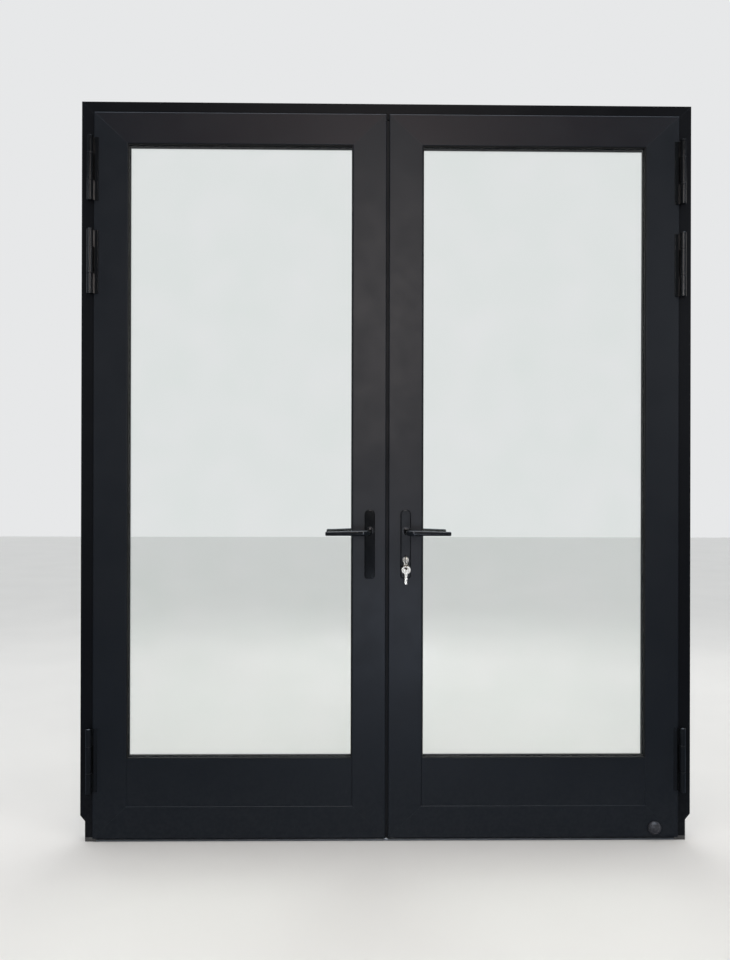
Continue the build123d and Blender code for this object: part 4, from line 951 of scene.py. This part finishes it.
def inShine(tree):  # 1 on rays that some surface has mirrored, 0 on all others and through glass
    ray = addNode(tree, "ShaderNodeLightPath")
    mirrored = addNode(tree, "ShaderNodeMath", {"operation": "SUBTRACT", "use_clamp": True}, {
        0: ray.outputs["Is Glossy Ray"], 1: ray.outputs["Is Transmission Ray"],
    })
    return mirrored.outputs[0]


def makeFloor():
    half, level = studio["floorSize"] / 2, studio["floorLevel"]
    corners = [(-half, -half), (half, -half), (half, half), (-half, half)]
    mesh = bpy.data.meshes.new("studioFloor")
    mesh.from_pydata([(x, y, level) for x, y in corners], [], [(0, 1, 2, 3)])
    material, tree, surface, place = startMaterial("paintedStudioFloor", {
        "Specular IOR Level": studio["floorSpecular"],
    })
    cloud = addNode(tree, "ShaderNodeTexNoise", {
        "Scale": 1 / studio["patchSize"], "Detail": 3.0,
    }, {"Vector": place})
    tone = addNode(tree, "ShaderNodeMix", {
        "data_type": "RGBA",
        6: linearColour(studio["floor"]), 7: linearColour(studio["floorPatch"]),
    }, {0: cloud.outputs[0]})
    # in the door's reflections the floor is darker and bluer: a painted reflection
    colour = addNode(tree, "ShaderNodeMix", {
        "data_type": "RGBA", 7: linearColour(studio["floorPaintedReflection"]),
    }, {0: inShine(tree), 6: tone.outputs[2]})
    rough = addNode(tree, "ShaderNodeMapRange", {
        "To Min": studio["floorRough"][0], "To Max": studio["floorRough"][1],
    }, {"Value": cloud.outputs[0]})
    tree.links.new(colour.outputs[2], surface.inputs["Base Color"])
    tree.links.new(rough.outputs[0], surface.inputs["Roughness"])
    mesh.materials.append(material)
    floor = bpy.data.objects.new("studioFloor", mesh)
    bpy.context.scene.collection.objects.link(floor)


def makeSky():  # brighter to look at than it is in the door's reflections
    world = bpy.data.worlds.new("studioSky")
    world.use_nodes = True
    tree = world.node_tree
    tree.nodes.clear()
    mirrored = inShine(tree)
    direction = addNode(tree, "ShaderNodeTexCoord")
    height = addNode(tree, "ShaderNodeSeparateXYZ", {}, {0: direction.outputs["Generated"]})
    shine = addNode(tree, "ShaderNodeMapRange", {
        "From Min": studio["zenithFrom"],
        "To Min": studio["skyShine"], "To Max": studio["zenithShine"],
    }, {"Value": height.outputs["Z"]})
    power = addNode(tree, "ShaderNodeMapRange", {"To Min": studio["skySeen"]}, {
        "Value": mirrored, "To Max": shine.outputs[0],
    })
    colour = addNode(tree, "ShaderNodeMix", {
        "data_type": "RGBA", 6: linearColour(studio["sky"]), 7: linearColour(studio["skyInShine"]),
    }, {0: mirrored})
    sky = addNode(tree, "ShaderNodeBackground", {}, {
        "Color": colour.outputs[2], "Strength": power.outputs[0],
    })
    addNode(tree, "ShaderNodeOutputWorld", {}, {"Surface": sky.outputs[0]})
    bpy.context.scene.world = world


def aimed(place, target):
    look = Vector(target) - Vector(place)
    return Matrix.Translation(place) @ look.to_track_quat("-Z", "Y").to_matrix().to_4x4()


def linkLamp(lamp, names, state):  # INCLUDE lights these parts only, EXCLUDE all but these
    reach = bpy.data.collections.new(lamp.name + "Reach")
    for name in names:
        reach.objects.link(nodes[name])
    for item in reach.collection_objects:
        item.light_linking.link_state = state
    lamp.light_linking.receiver_collection = reach


def makeLamps():
    for name, (place, target, width, height, watts, tint) in studio["lamps"].items():
        light = bpy.data.lights.new(name, "AREA")
        light.shape = "RECTANGLE"
        light.size = width
        light.size_y = height
        light.energy = watts
        light.color = linearColour(tint)[:3]
        lamp = bpy.data.objects.new(name, light)
        lamp.matrix_world = aimed(place, target)
        lamp.visible_camera = False
        lamp.visible_transmission = False
        lamp.visible_diffuse = name not in studio["accents"]
        if name in studio["offGlass"]:
            linkLamp(lamp, ("panes_left", "panes_right"), "EXCLUDE")
        if name in studio["topRailsOnly"]:
            linkLamp(lamp, ("top_rail_left", "top_rail_right"), "INCLUDE")
        bpy.context.scene.collection.objects.link(lamp)


# The eye's place and turn were worked out from the door's corners and edges in the picture.
view = {
    "eye": (-0.1075, -2.8, 1.0491),
    "yaw": -0.0153,
    "pitch": 0.001,
    "roll": 0.0024,
    "focalPixels": 950.97,
    "imageHeight": 960,
    "sensorHeight": 24.0,
    "farthest": 100,
}


def makeCamera():
    data = bpy.data.cameras.new("frontCamera")
    data.sensor_fit = "VERTICAL"
    data.sensor_height = view["sensorHeight"]
    data.lens = view["focalPixels"] / view["imageHeight"] * view["sensorHeight"]
    data.clip_end = view["farthest"]
    camera = bpy.data.objects.new("frontCamera", data)
    turn = Matrix.Rotation(view["yaw"], 4, "Z")
    tilt = Matrix.Rotation(math.pi / 2 + view["pitch"], 4, "X")
    roll = Matrix.Rotation(view["roll"], 4, "Z")
    camera.matrix_world = Matrix.Translation(view["eye"]) @ turn @ tilt @ roll
    bpy.context.scene.collection.objects.link(camera)
    bpy.context.scene.camera = camera


makeFloor()
makeSky()
makeLamps()
makeCamera()
bpy.context.scene.view_settings.view_transform = "Standard"
print("studio ready")
